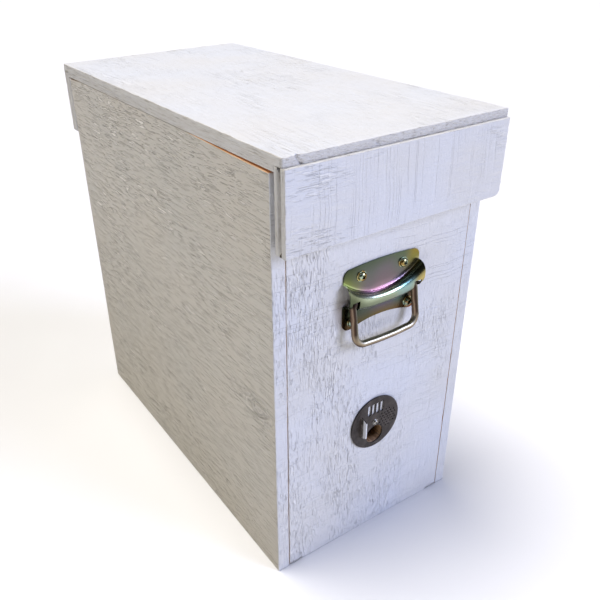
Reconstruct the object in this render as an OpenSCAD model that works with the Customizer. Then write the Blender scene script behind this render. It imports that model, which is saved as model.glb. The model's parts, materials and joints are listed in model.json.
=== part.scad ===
// Tall plywood nucleus hive: a painted box on end-to-end side panels, a lift-off lid
// with a skirt at each end, a turning entrance disc and a chest handle at each end.
// The front faces -Y, +Z is up, and the origin is the middle of the footprint.

/* [Case] */
// Outside width of the case and the lid
case_w = 270; // [220:1:330]
// Outside length of the case, from the front face to the rear face
case_l = 495; // [400:1:600]
// Height of the case without the lid board
case_h = 490; // [400:1:600]
// Thickness of every plywood panel
panel_t = 15; // [12:1:18]
// Wall left outside the ledge that carries the frames
ledge_wall = 6; // [5:0.5:8]

/* [Lid] */
// How far the lid board runs past each end of the case
lid_over = 19; // [18:1:30]
// Drop of the end skirts below the lid board
skirt_drop = 75; // [50:1:100]
// Thickness of the end skirts
skirt_t = 16; // [12:1:17]
// Depth of the rebate that takes a skirt's top edge under the lid board
skirt_rebate = 6; // [3:0.5:8]
// How far the front skirt stands proud of the lid board's edge
front_proud = 4; // [0:0.5:5]
// How far the rear skirt stands proud of the lid board's edge
rear_proud = 0; // [0:0.5:5]

/* [Flight hole and entrance disc] */
// Diameter of the flight hole in the front panel
flight_d = 23; // [18:0.5:26]
// Distance from the disc's screw down to the flight hole
flight_drop = 17.5; // [15:0.5:20]
// Height of the disc's screw above the base
disc_z = 162.5; // [100:0.5:190]
// Sideways place of the disc's screw
disc_x = 1.5; // [-10:0.5:10]
// Diameter of the disc
disc_d = 70; // [62:1:90]
// Thickness of the disc's sheet
disc_t = 1.3; // [1:0.1:2]
// Radial slack of the disc on its screw
disc_slack = 0.05; // [0.02:0.01:0.1]
// Paint gap behind the disc
disc_gap = 0.3; // [0.2:0.1:0.5]

/* [Handles] */
// Height of the handle plate's centre above the base
handle_z = 340.5; // [300:0.5:360]
// Sideways place of the handle plate, seen from outside
handle_x = -2; // [-10:0.5:10]
// Width of the handle plate
plate_w = 100; // [90:1:120]
// Thickness of the handle plate's sheet
plate_t = 1.3; // [1:0.1:1.6]
// Diameter of the bail's rod
bail_d = 7.5; // [6:0.5:7.5]
// Distance between the bail's legs, centre to centre
bail_span = 83; // [80:0.5:84]
// Distance from the bail's pivot to its grip
bail_reach = 46.6; // [40:0.1:60]
// Outward tilt at which the hanging bail rests on the screw heads
bail_tilt = 10; // [8:0.5:14]

/* [Frames] */
// Number of frames in the case
frame_count = 6; // [6]
// Height of a frame
frame_h = 232; // [200:1:300]
// Thickness of a frame's lugs
lug_t = 10; // [8:0.5:12]
// Bee space above the top bars
top_space = 7; // [6:0.5:9]
// Bee space between two side bars
frame_gap = 3; // [2:0.5:5]
// Space between the outer frames and the case
side_space = 7.5; // [5:0.5:12]
// Space between a frame's side bars and the end panels
end_space = 8.5; // [6:0.5:10]

/* [Fasteners] */
// Diameter of a nail
nail_d = 1.8; // [1.6:0.1:2.2]
// Length of a nail
nail_l = 38; // [30:1:45]
// Shank diameter of a handle screw
screw_d = 4.4; // [4:0.1:5]
// Head diameter of a handle screw
screw_head_d = 10; // [8:0.5:11]
// Head height of a handle screw
screw_head_h = 4; // [3:0.1:4]

/* [Hidden] */
FRAME_PARTS = ["top_bar", "side_bars", "bottom_bar", "foundation"];
$fn = 64;

// Case
inner_w = case_w - 2 * panel_t;
inner_l = case_l - 2 * panel_t;
ledge_depth = panel_t - ledge_wall;
ledge_z = case_h - top_space - lug_t;
front_y = -case_l / 2;

// Nails: sunk below the face, and a few along each joint
nail_sink = 1;
nail_head_d = 2 * nail_d;
nail_head_h = 1.2;
nails_per_edge = 4;
nail_margin = 50;
function spread(i, n, len, margin) = margin + i * (len - 2 * margin) / (n - 1);

// Lid
lid_l = case_l + 2 * lid_over;
lid_top = case_h + panel_t;

// Disc features, as distances from the disc's screw
disc_screw_d = 4;
disc_head_d = 7;
disc_head_h = 2.2;
disc_head_gap = 0.1;
disc_hole_slack = 0.5;
slot_count = 4;
slot_pitch = 6.1;
slot_w = 4.2;
slot_l = 15;
slot_rise = 19.4;
vent_d = 2;
vent_pitch = 4.5;
vent_patch_r = 12.5;
vent_x = 18.5;
tab_x = 20;
tab_h = 9;
tab_z0 = -12;
tab_l = 27.5;
tab_taper = 3;

// Handle plate outline, about its own centre
plate_top = 33.8;
plate_foot = -37.5;
plate_arch = -31;
plate_corner_r = 8;
top_arc_r = 400;
foot_arc_r = 130;
screw_up = [27.6, 20.4];
screw_low = [38, -28.5];

// Bead across the plate: a trumpet-mouthed channel that holds the bail's ends
bead_fold_r = 74;
bead_top = -1.5;
bead_foot = -17;
bead_foot_rise = 8.8;
bead_crest = 10.4;
bead_flare = 2.4;
bead_power = 2.4;
bead_stations = 24;
bead_arc_steps = 12;
notch_slack = 1.2;
notch_top = -0.8;

// Bail: its ends turn inwards into the bead
bail_r = bail_d / 2;
pivot_y = -(bail_r + 1.8);
pivot_z = -5.5;
bail_corner_r = 12;
bail_shoulder_r = bail_r + 1.5;
bail_stub = 10;

// Frames: they share the width of the case
frame_pitch = (inner_w - 2 * side_space + frame_gap) / frame_count;
side_bar_w = frame_pitch - frame_gap;
side_bar_t = 10;
top_bar_w = side_bar_w - 8;
top_bar_t = 19;
neck_w = side_bar_w - 13;
bottom_bar_w = side_bar_w - 16;
bottom_bar_t = 9;
lug_end_gap = 0.5;
foundation_t = 1.5;
frame_top = case_h - top_space;
frame_base = frame_top - frame_h;
frame_l = inner_l - 2 * end_space;
top_bar_l = inner_l + 2 * (ledge_depth - lug_end_gap);
foundation_l = frame_l - 2 * side_bar_t;

paint = "#e4e4ea";
shade_paint = "#c9c6bd";
bare_ply = "#c99a5e";
pine = "#d9b67c";
wax = "#e0b04a";
zinc = "#a39a62";
gunmetal = "#4a4441";
steel = "#b9bac0";

// ---- Helpers ----

// A block centred on X and Y that stands on z0
module block(size, at = [0, 0, 0]) {
    translate([at[0] - size[0] / 2, at[1] - size[1] / 2, at[2]]) cube(size);
}

// A cylinder along +X or +Y, from a point
module rod_x(r, l) { rotate([0, 90, 0]) cylinder(r = r, h = l); }
module rod_y(r, l) { rotate([-90, 0, 0]) cylinder(r = r, h = l); }

// One nail that points along +X from its sunk head
module nail() {
    rod_x(nail_head_d / 2, nail_head_h);
    rod_x(nail_d / 2, nail_l);
}

// Nails from the outer face of one side panel into the end panels and the floor
module side_nails() {
    translate([-case_w / 2 + nail_sink, 0, 0]) {
        for (end = [-1, 1], i = [0 : nails_per_edge - 1])
            translate([0, end * (case_l - panel_t) / 2, spread(i, nails_per_edge, case_h, nail_margin)]) nail();
        for (i = [0 : nails_per_edge - 1])
            translate([0, -case_l / 2 + spread(i, nails_per_edge, case_l, 2 * nail_margin), panel_t / 2]) nail();
    }
}

// Nails down through the lid board into a skirt at the front that stands proud of the board's edge
module skirt_nails(proud) {
    nail_y = -(lid_l + proud - skirt_t) / 2;
    for (i = [0 : nails_per_edge - 1])
        translate([-case_w / 2 + spread(i, nails_per_edge, case_w, nail_margin / 2), nail_y, lid_top - nail_sink])
            rotate([0, 90, 0]) nail();
}

// Puts its child at each screw of the front handle, on the panel's face
module handle_screw_places() {
    for (side = [-1, 1], at = [screw_up, screw_low])
        translate([handle_x + side * at[0], front_y, handle_z + at[1]]) children();
}

module turned_to_rear() { rotate([0, 0, 180]) children(); }

// ---- Case ----

module side_panel() {
    color(shade_paint) difference() {
        block([panel_t, case_l, case_h], [-(case_w - panel_t) / 2, 0, 0]);
        side_nails();
    }
}

module left_side_panel() { side_panel(); }
module right_side_panel() { mirror([1, 0, 0]) side_panel(); }

// An end panel at the front, with the ledge for the frames cut into its inner top edge
module end_panel() {
    difference() {
        block([inner_w, panel_t, case_h], [0, front_y + panel_t / 2, 0]);
        block([inner_w + 2, ledge_depth + 1, case_h],
              [0, front_y + ledge_wall + (ledge_depth + 1) / 2, ledge_z]);
        side_nails();
        mirror([1, 0, 0]) side_nails();
        handle_screw_places() rod_y(screw_d / 2, panel_t + 1);
    }
}

module front_panel() {
    color(paint) difference() {
        end_panel();
        translate([disc_x, front_y - 1, disc_z - flight_drop]) rod_y(flight_d / 2, panel_t + 2);
        translate([disc_x, front_y - 1, disc_z]) rod_y(disc_screw_d / 2, panel_t);
    }
}

module rear_panel() { color(paint) turned_to_rear() end_panel(); }

module floor_board() {
    color(bare_ply) difference() {
        block([inner_w, inner_l, panel_t]);
        side_nails();
        mirror([1, 0, 0]) side_nails();
    }
}

module case_nails() {
    color(steel) {
        side_nails();
        mirror([1, 0, 0]) side_nails();
    }
}

// ---- Lid ----

// The rebate under the front end of the lid board, and the nails through it
module skirt_seat(proud) {
    inner_y = -(lid_l / 2 + proud - skirt_t);
    block([case_w + 2, skirt_t, skirt_rebate + 1], [0, inner_y - skirt_t / 2, case_h - 1]);
    skirt_nails(proud);
}

module lid_board() {
    color(paint) difference() {
        block([case_w, lid_l, panel_t], [0, 0, case_h]);
        skirt_seat(front_proud);
        turned_to_rear() skirt_seat(rear_proud);
    }
}

module skirt(proud) {
    color(paint) difference() {
        block([case_w, skirt_t, skirt_drop + skirt_rebate],
              [0, -(lid_l / 2 + proud - skirt_t / 2), case_h - skirt_drop]);
        skirt_nails(proud);
    }
}

module lid_front_skirt() { skirt(front_proud); }
module lid_rear_skirt() { turned_to_rear() skirt(rear_proud); }

module lid_nails() {
    color(steel) {
        skirt_nails(front_proud);
        turned_to_rear() skirt_nails(rear_proud);
    }
}

// ---- Entrance disc ----

module slot_outline() {
    square([slot_w, slot_l - slot_w], center = true);
    for (end = [-1, 1]) translate([0, end * (slot_l - slot_w) / 2]) circle(d = slot_w);
}

// The disc's outline seen from the front: x to the right, y up
module disc_outline() {
    difference() {
        circle(d = disc_d, $fn = 128);
        circle(d = disc_screw_d + 2 * disc_slack);
        translate([0, -flight_drop]) circle(d = flight_d + 2 * disc_hole_slack);
        for (i = [0 : slot_count - 1])
            translate([(i - (slot_count - 1) / 2) * slot_pitch, slot_rise]) slot_outline();
        translate([vent_x, 0]) vent_holes();
    }
}

// Small vent holes on a staggered grid inside a round patch
module vent_holes() {
    row_step = vent_pitch * sin(60);
    rows = floor(vent_patch_r / row_step);
    for (row = [-rows : rows], col = [-rows : rows]) {
        x = (col + (abs(row) % 2) / 2) * vent_pitch;
        z = row * row_step;
        if (norm([x, z]) < vent_patch_r) translate([x, z]) circle(d = vent_d, $fn = 24);
    }
}

// The finger tab that stands square to the disc
module disc_tab() {
    translate([-tab_x - disc_t, 0, 0]) rotate([90, 0, 90]) linear_extrude(disc_t)
        polygon([[0, tab_z0], [-tab_h, tab_z0 + tab_taper], [-tab_h, tab_z0 + tab_l - tab_taper], [0, tab_z0 + tab_l]]);
}

module entrance_disc() {
    color(gunmetal) translate([disc_x, front_y - disc_gap, disc_z]) {
        rotate([90, 0, 0]) linear_extrude(disc_t) disc_outline();
        disc_tab();
    }
}

module disc_screw() {
    head_y = -disc_gap - disc_t - disc_head_gap;
    tip_y = panel_t - 1;
    color(steel) translate([disc_x, front_y, disc_z]) difference() {
        union() {
            translate([0, head_y - disc_head_h / 2, 0]) rod_y(disc_screw_d / 2, tip_y - head_y + disc_head_h / 2);
            translate([0, head_y - disc_head_h, 0]) rod_y(disc_head_d / 2, disc_head_h);
        }
        cross_recess(disc_head_d, head_y - disc_head_h);
    }
}

// ---- Handles ----

// A cross recess cut into a screw head whose face is at y
module cross_recess(head_d, y) {
    for (turn = [0, 90])
        translate([0, y, 0]) rotate([0, turn, 0]) block([head_d * 0.5, head_d * 0.24, head_d * 0.14], [0, 0, -head_d * 0.07]);
}

module pan_head_screw() {
    shoulder = screw_head_h * 0.55;
    color(steel) difference() {
        union() {
            translate([0, -plate_t, 0]) rod_y(screw_d / 2, panel_t - 1 + plate_t);
            translate([0, -plate_t, 0]) rotate([90, 0, 0]) {
                cylinder(d = screw_head_d, h = shoulder);
                translate([0, 0, shoulder]) cylinder(d1 = screw_head_d, d2 = screw_head_d * 0.6, h = screw_head_h - shoulder);
            }
        }
        cross_recess(screw_head_d, -plate_t - screw_head_h);
    }
}

module front_handle_screws() { handle_screw_places() pan_head_screw(); }
module rear_handle_screws() { turned_to_rear() front_handle_screws(); }

// Heights of the bead's upper fold and lower edge, its crest, and its half height, at x
function bead_upper(x) = bead_top + bead_fold_r - sqrt(bead_fold_r * bead_fold_r - x * x);
function bead_lower(x) = bead_foot + bead_foot_rise * pow(abs(x) * 2 / plate_w, 4);
function bead_out(x) = bead_crest + bead_flare * pow(x * 2 / plate_w, 2);
function station_x(i) = -plate_w / 2 + i * plate_w / bead_stations;

// A rounded arch section as [distance from the wall, height], thinner by inset all round
function arch_point(x, turn, inset) =
    let (half = (bead_upper(x) - bead_lower(x)) / 2 - inset, mid = (bead_upper(x) + bead_lower(x)) / 2,
         out = bead_out(x) - inset, p = 2 / bead_power)
    [x, -out * pow(sin(turn), p), mid + half * sign(cos(turn)) * pow(abs(cos(turn)), p)];

// Outer arch from top to foot, then the inner arch back up
function bead_ring(x) = concat(
    [for (k = [0 : bead_arc_steps]) arch_point(x, 180 * k / bead_arc_steps, 0)],
    [for (k = [bead_arc_steps : -1 : 0]) arch_point(x, 180 * k / bead_arc_steps, plate_t)]);

module bead() {
    ring_n = 2 * (bead_arc_steps + 1);
    points = [for (i = [0 : bead_stations]) each bead_ring(station_x(i))];
    sides = [for (i = [0 : bead_stations - 1], k = [0 : ring_n - 1])
        let (a = i * ring_n + k, b = i * ring_n + (k + 1) % ring_n)
        [a, a + ring_n, b + ring_n, b]];
    start_cap = [for (k = [0 : bead_arc_steps - 1]) [k, k + 1, ring_n - 2 - k, ring_n - 1 - k]];
    last = bead_stations * ring_n;
    end_cap = [for (k = [0 : bead_arc_steps - 1])
        [last + k, last + ring_n - 1 - k, last + ring_n - 2 - k, last + k + 1]];
    polyhedron(points, concat(sides, start_cap, end_cap), convexity = 6);
}

// Where the flat sheet is pressed up into the bead; half the sheet's thickness stays as a lap
module bead_footprint() {
    lap = plate_t / 2;
    polygon(concat(
        [for (i = [0 : bead_stations]) [station_x(i) * 1.01, bead_upper(station_x(i)) - lap]],
        [for (i = [bead_stations : -1 : 0]) [station_x(i) * 1.01, bead_lower(station_x(i)) + lap]]));
}

// The flat sheet's outline: bowed top, hollow foot, round corners
module plate_outline() {
    corner_x = plate_w / 2 - plate_corner_r;
    top_z = plate_top - plate_corner_r;
    foot_z = plate_foot + plate_corner_r;
    difference() {
        intersection() {
            translate([0, plate_top - top_arc_r]) circle(r = top_arc_r, $fn = 256);
            union() {
                translate([-plate_w / 2, foot_z]) square([plate_w, top_z - foot_z]);
                translate([-corner_x, plate_foot]) square([2 * corner_x, plate_top - plate_foot]);
                for (side = [-1, 1], z = [foot_z, top_z - 2.2]) translate([side * corner_x, z]) circle(r = plate_corner_r);
            }
        }
        translate([0, plate_arch - foot_arc_r]) circle(r = foot_arc_r, $fn = 256);
        for (side = [-1, 1], at = [screw_up, screw_low])
            translate([side * at[0], at[1]]) circle(d = screw_d + 0.4);
    }
}

module handle_plate() {
    notch_w = bail_d + 2 * notch_slack;
    color(zinc) translate([handle_x, front_y, handle_z]) difference() {
        union() {
            rotate([90, 0, 0]) linear_extrude(plate_t) difference() {
                plate_outline();
                bead_footprint();
            }
            bead();
        }
        for (side = [-1, 1])
            translate([side * bail_span / 2 - notch_w / 2, -30, 2 * bead_foot + notch_top])
                cube([notch_w, 30 - plate_t - 0.05, -2 * bead_foot]);
    }
}

module front_handle_plate() { handle_plate(); }
module rear_handle_plate() { turned_to_rear() handle_plate(); }

// A quarter bend of rod in the XZ plane, centred on the origin, from +X round to -Z
module quarter_bend(r) {
    rotate([90, 0, 0]) rotate([0, 0, -90]) rotate_extrude(angle = 90) translate([r, 0]) circle(r = bail_r);
}

module bail_half() {
    leg_x = bail_span / 2;
    leg_l = bail_reach - bail_corner_r - bail_shoulder_r;
    translate([leg_x - bail_shoulder_r - bail_stub, 0, 0]) rod_x(bail_r, bail_stub);
    translate([leg_x - bail_shoulder_r, 0, -bail_shoulder_r]) mirror([0, 0, 1]) quarter_bend(bail_shoulder_r);
    translate([leg_x, 0, -bail_shoulder_r - leg_l]) cylinder(r = bail_r, h = leg_l);
    translate([leg_x - bail_corner_r, 0, -bail_reach + bail_corner_r]) quarter_bend(bail_corner_r);
}

module bail() {
    grip_l = bail_span - 2 * bail_corner_r;
    color(zinc) translate([handle_x, front_y + pivot_y, handle_z + pivot_z]) rotate([-bail_tilt, 0, 0]) {
        bail_half();
        mirror([1, 0, 0]) bail_half();
        translate([-grip_l / 2, 0, -bail_reach]) rod_x(bail_r, grip_l);
    }
}

module front_bail() { bail(); }
module rear_bail() { turned_to_rear() bail(); }

// ---- Frames, each about its own middle plane ----

module top_bar() {
    color(pine) {
        block([top_bar_w, foundation_l, top_bar_t], [0, 0, frame_top - top_bar_t]);
        for (end = [-1, 1]) {
            block([neck_w, side_bar_t, top_bar_t], [0, end * (frame_l - side_bar_t) / 2, frame_top - top_bar_t]);
            block([neck_w, (top_bar_l - frame_l) / 2, lug_t], [0, end * (top_bar_l + frame_l) / 4, frame_top - lug_t]);
        }
    }
}

module side_bars() {
    color(pine) for (end = [-1, 1]) difference() {
        block([side_bar_w, side_bar_t, frame_h], [0, end * (frame_l - side_bar_t) / 2, frame_base]);
        block([neck_w, 2 * side_bar_t, top_bar_t + 1], [0, end * (frame_l - side_bar_t) / 2, frame_top - top_bar_t]);
        block([bottom_bar_w, 2 * side_bar_t, bottom_bar_t + 1], [0, end * (frame_l - side_bar_t) / 2, frame_base - 1]);
    }
}

module bottom_bar() { color(pine) block([bottom_bar_w, frame_l, bottom_bar_t], [0, 0, frame_base]); }

module foundation() {
    color(wax) block([foundation_t, foundation_l, frame_h - bottom_bar_t - top_bar_t], [0, 0, frame_base + bottom_bar_t]);
}

module frame_part(i, part) {
    translate([(i - (frame_count + 1) / 2) * frame_pitch, 0, 0]) {
        if (part == "top_bar") top_bar();
        if (part == "side_bars") side_bars();
        if (part == "bottom_bar") bottom_bar();
        if (part == "foundation") foundation();
    }
}

left_side_panel();
right_side_panel();
front_panel();
rear_panel();
floor_board();
case_nails();
lid_board();
lid_front_skirt();
lid_rear_skirt();
lid_nails();
entrance_disc();
disc_screw();
front_handle_plate();
front_handle_screws();
front_bail();
rear_handle_plate();
rear_handle_screws();
rear_bail();
for (i = [1 : frame_count], p = FRAME_PARTS)
    frame_part(i, p);
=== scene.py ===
import math
import bmesh
import bpy
import json
import numpy as np
from mathutils import Matrix, Vector


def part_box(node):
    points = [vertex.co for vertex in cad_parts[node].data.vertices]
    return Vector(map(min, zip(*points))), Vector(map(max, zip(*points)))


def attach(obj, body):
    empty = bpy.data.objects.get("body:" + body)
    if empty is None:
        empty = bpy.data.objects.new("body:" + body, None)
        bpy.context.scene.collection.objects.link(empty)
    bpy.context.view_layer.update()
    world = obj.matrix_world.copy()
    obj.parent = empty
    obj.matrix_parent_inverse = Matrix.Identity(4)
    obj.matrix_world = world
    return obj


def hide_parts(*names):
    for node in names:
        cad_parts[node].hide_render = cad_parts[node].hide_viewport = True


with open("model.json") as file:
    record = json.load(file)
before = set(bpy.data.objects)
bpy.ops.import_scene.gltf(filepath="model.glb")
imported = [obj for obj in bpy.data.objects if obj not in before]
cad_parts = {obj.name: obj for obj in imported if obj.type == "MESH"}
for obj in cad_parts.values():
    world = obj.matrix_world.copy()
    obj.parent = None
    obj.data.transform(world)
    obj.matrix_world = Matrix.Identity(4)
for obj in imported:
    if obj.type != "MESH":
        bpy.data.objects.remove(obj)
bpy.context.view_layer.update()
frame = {"nodes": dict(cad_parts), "record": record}
mm = 0.001
nodes = frame["nodes"]
print("frame loaded:", len(nodes), "nodes")


def nodeBox(name):
    # lowest and highest corner of a CAD node, in millimetres
    low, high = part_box(name)
    return np.array(low) / mm, np.array(high) / mm


cameraView = {
    "place": (-429.6, -706.4, 669.8),   # mm, from the middle of the footprint
    "azimuth": 32.83,                   # degrees, to the left of the front
    "elevation": 29.68,
    "roll": -1.37,
    "lens": 40.86,
    "shift": (0.044, 0.0131),
}


def makeCamera(v):
    az, el, roll = (math.radians(v[k]) for k in ("azimuth", "elevation", "roll"))
    ahead = Vector((math.sin(az) * math.cos(el), math.cos(az) * math.cos(el), -math.sin(el)))
    level = ahead.cross(Vector((0, 0, 1))).normalized()
    upright = level.cross(ahead)
    right = level * math.cos(roll) + upright * math.sin(roll)
    up = upright * math.cos(roll) - level * math.sin(roll)
    data = bpy.data.cameras.new("camera")
    data.lens = v["lens"]
    data.shift_x, data.shift_y = v["shift"]
    data.clip_start, data.clip_end = 0.01, 50
    turn = Matrix((right, up, -ahead)).transposed().to_4x4()
    cam = bpy.data.objects.new("camera", data)
    bpy.context.collection.objects.link(cam)
    cam.matrix_world = Matrix.Translation(Vector(v["place"]) * mm) @ turn
    bpy.context.scene.camera = cam


makeCamera(cameraView)
print("camera placed")


def hexColor(code):
    # an sRGB hex code as linear red, green, blue, alpha
    parts = [int(code[i:i + 2], 16) / 255 for i in (1, 3, 5)]
    return tuple(c / 12.92 if c <= 0.04045 else ((c + 0.055) / 1.055) ** 2.4 for c in parts) + (1.0,)


def addNode(tree, kind, settings=None, **links):
    # one node: settings are its properties and input values, and stops are a ramp's places and hex colours;
    # links are what feeds its inputs, where a node stands for its first output
    made = tree.nodes.new(kind if "Node" in kind else "ShaderNode" + kind)
    for key, value in (settings or {}).items():
        if key == "stops":
            marks = made.color_ramp.elements
            while len(marks) < len(value):
                marks.new(0.5)
            for mark, (position, code) in zip(marks, value):
                mark.position = position
                mark.color = hexColor(code)
        elif isinstance(key, int) or key in made.inputs:
            made.inputs[key].default_value = value
        else:
            setattr(made, key, value)
    for key, source in links.items():
        name = int(key[1:]) if key[0] == "i" and key[1:].isdigit() else key.replace("_", " ")
        tree.links.new(source.outputs[0] if hasattr(source, "outputs") else source, made.inputs[name])
    return made


def startMaterial(name):
    mat = bpy.data.materials.new(name)
    mat.use_nodes = True
    tree = mat.node_tree
    tree.nodes.clear()
    shader = addNode(tree, "BsdfPrincipled")
    out = addNode(tree, "OutputMaterial")
    tree.links.new(shader.outputs[0], out.inputs[0])
    place = addNode(tree, "TexCoord").outputs["Object"]
    return mat, tree, shader, place


def randomGrid(ix, iy, iz, seed):
    n = (ix * 374761393 + iy * 668265263 + iz * 974634777 + seed * 1274126177) & 0xFFFFFFFF
    n = ((n ^ (n >> 13)) * 1274126177) & 0xFFFFFFFF
    return ((n ^ (n >> 16)) & 0xFFFFFF) / 0xFFFFFF


def softNoise(p, seed):
    # smooth noise from -1 to 1 at points p, one cell per unit
    base = np.floor(p).astype(np.int64)
    f = p - base
    f = f * f * (3 - 2 * f)
    base = base + 4096
    total = np.zeros(len(p))
    for cx in (0, 1):
        for cy in (0, 1):
            for cz in (0, 1):
                w = (f[:, 0] if cx else 1 - f[:, 0]) * (f[:, 1] if cy else 1 - f[:, 1])
                w = w * (f[:, 2] if cz else 1 - f[:, 2])
                total += w * randomGrid(base[:, 0] + cx, base[:, 1] + cy, base[:, 2] + cz, seed)
    return total * 2 - 1


def between(x, low, high):
    t = np.clip((x - low) / (high - low), 0, 1)
    return t * t * (3 - 2 * t)


def linkObject(name, data):
    made = bpy.data.objects.new(name, data)
    bpy.context.collection.objects.link(made)
    return made


def meshObject(name, points, faces, materials, faceMaterials=None):
    mesh = bpy.data.meshes.new(name)
    mesh.from_pydata((np.asarray(points) * mm).tolist(), [], faces)
    for m in materials:
        mesh.materials.append(m)
    if faceMaterials is not None:
        mesh.polygons.foreach_set("material_index", faceMaterials)
    mesh.polygons.foreach_set("use_smooth", [True] * len(mesh.polygons))
    mesh.update()
    return linkObject(name, mesh)


def bake(obj):
    # turns the object's modifiers into plain mesh
    result = bpy.data.meshes.new_from_object(obj.evaluated_get(bpy.context.evaluated_depsgraph_get()))
    obj.modifiers.clear()
    old = obj.data
    obj.data = result
    if old.users == 0:
        bpy.data.meshes.remove(old)


def cleanMesh(obj):
    # joins points that coincide, drops slivers and turns every face outward
    joined = 0.01 * mm
    work = bmesh.new()
    work.from_mesh(obj.data)
    bmesh.ops.remove_doubles(work, verts=work.verts, dist=joined)
    bmesh.ops.dissolve_degenerate(work, edges=work.edges, dist=joined / 2)
    bmesh.ops.recalc_face_normals(work, faces=work.faces)
    work.to_mesh(obj.data)
    work.free()


def smoothByAngle(obj, degrees):
    # edges sharper than the angle stay crisp
    work = bmesh.new()
    work.from_mesh(obj.data)
    limit = math.radians(degrees)
    for e in work.edges:
        e.smooth = not (len(e.link_faces) == 2 and e.calc_face_angle(0) > limit)
    for f in work.faces:
        f.smooth = True
    work.to_mesh(obj.data)
    work.free()


def cutAway(obj, cutter):
    cut = obj.modifiers.new("cut", "BOOLEAN")
    cut.operation = "DIFFERENCE"
    cut.object = cutter
    cut.solver = "EXACT"
    cut.material_mode = "TRANSFER"
    bake(obj)
    bpy.data.objects.remove(cutter)


def boxCutter(name, size, place, material, taper=1.0, turn=0.0):
    # a box in millimetres, narrower towards +Y by the taper, then turned about the Y axis
    box = bmesh.new()
    bmesh.ops.create_cube(box, size=1)
    for v in box.verts:
        narrow = taper if v.co.y > 0 else 1.0
        wide, high, deep = v.co.x * size[0] * narrow, v.co.y * size[1], v.co.z * size[2]
        v.co = Vector((wide, high, deep)) * mm + Vector(place) * mm
    if turn:
        bmesh.ops.rotate(box, verts=box.verts, matrix=Matrix.Rotation(turn, 3, "Y"))
    mesh = bpy.data.meshes.new(name)
    box.to_mesh(mesh)
    box.free()
    mesh.materials.append(material)
    return linkObject(name, mesh)


def startTree(name, inputs, output):
    # a geometry node group with its named inputs and its one output
    tree = bpy.data.node_groups.new(name, "GeometryNodeTree")
    for label, kind in inputs.items():
        tree.interface.new_socket(label, in_out="INPUT", socket_type="NodeSocket" + kind)
    tree.interface.new_socket(output, in_out="OUTPUT", socket_type="NodeSocketGeometry")
    return tree, addNode(tree, "NodeGroupInput").outputs


def runTree(obj, tree, values):
    # runs the node group on the object with the values of its named inputs, and bakes the result
    run = obj.modifiers.new(tree.name, "NODES")
    run.node_group = tree
    for item in tree.interface.items_tree:
        if item.item_type == "SOCKET" and item.in_out == "INPUT" and item.name in values:
            run[item.identifier] = values[item.name]
    bake(obj)


# how a material's colour, relief in metres and roughness reach its shader
def dress(tree, shader, tone, relief, rough, metal=0.0):
    bump = addNode(tree, "Bump", {"Strength": 1.0, "Distance": 1.0}, Height=relief)
    tree.links.new(tone, shader.inputs["Base Color"])
    tree.links.new(bump.outputs[0], shader.inputs["Normal"])
    if isinstance(rough, float):
        shader.inputs["Roughness"].default_value = rough
    else:
        tree.links.new(rough.outputs[0], shader.inputs["Roughness"])
    shader.inputs["Metallic"].default_value = metal


def ovalReach(tree, place, centre, radii):
    # distance from the centre as a share of the radii, in millimetres; an axis with no radius isn't counted
    scale = [1000 / r if r else 0 for r in radii]
    apart = addNode(tree, "VectorMath", {"operation": "SUBTRACT", 1: [c * mm for c in centre]}, i0=place)
    oval = addNode(tree, "VectorMath", {"operation": "MULTIPLY", 1: scale}, i0=apart)
    return addNode(tree, "VectorMath", {"operation": "LENGTH"}, i0=oval).outputs["Value"]


# Exterior acrylic paint brushed over rough plywood: off-white, satin, with the raised grain, splits
# and brush marks showing through as relief; the colour adds a painted highlight on the raised grain and
# painted shade, with some dirt, in the splits.
knot = {"y": -214.0, "z": 219.0, "ry": 23.0, "rz": 11.0,      # mm, on the left side
        "rings": 9.0, "uneven": 11.0, "depth": 2.2, "tone": "#f2ecdf"}
paintLook = {
    # the thin tone is a painted highlight on the raised grain, and the crack tone is painted shade, with some
    # dirt, in the splits
    "warm": "#d3d1cd", "cool": "#d2d3d6", "thin": "#eeece7", "crack": "#7d7974",
    "cloud": 130.0,             # mm, size of the tone patches
    "patch": 60.0,              # mm, size of the patches of rough veneer
    "calm": 0.52, "calmLevel": 0.12,
    "lean": (0, 0, 0),          # per metre, towards where the rough patches gather
    "crackWide": 1.1, "crackLong": 13.0, "crackDepth": 1.4, "crackShare": 0.36, "crackShadeAndDirt": 0.3,
    "ridgeWide": 2.0, "ridgeLong": 15.0, "ridgeDepth": 0.8, "ridgeFrom": 0.54, "ridgeHighlightShare": 0.5,
    "brushWide": 0.9, "brushLong": 40.0, "brushDepth": 0.2,
    "peelSize": 2.2, "peelDepth": 0.36,
    "sawEvery": 9.0, "sawWidth": 0.03, "sawDepth": 0.35, "sawBreak": (70.0, 14.0),
    "driftWide": 60.0, "driftLong": 160.0, "drift": 12.0,      # mm, bends the grain a little
    "rough": 0.5,
}


def stretched(tree, place, along, wide, long):
    # object coordinates turned into cells that are long along one axis, sizes in mm
    scale = [1000 / wide] * 3
    scale[along] = 1000 / long
    return addNode(tree, "VectorMath", {"operation": "MULTIPLY", 1: scale}, i0=place)


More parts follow.
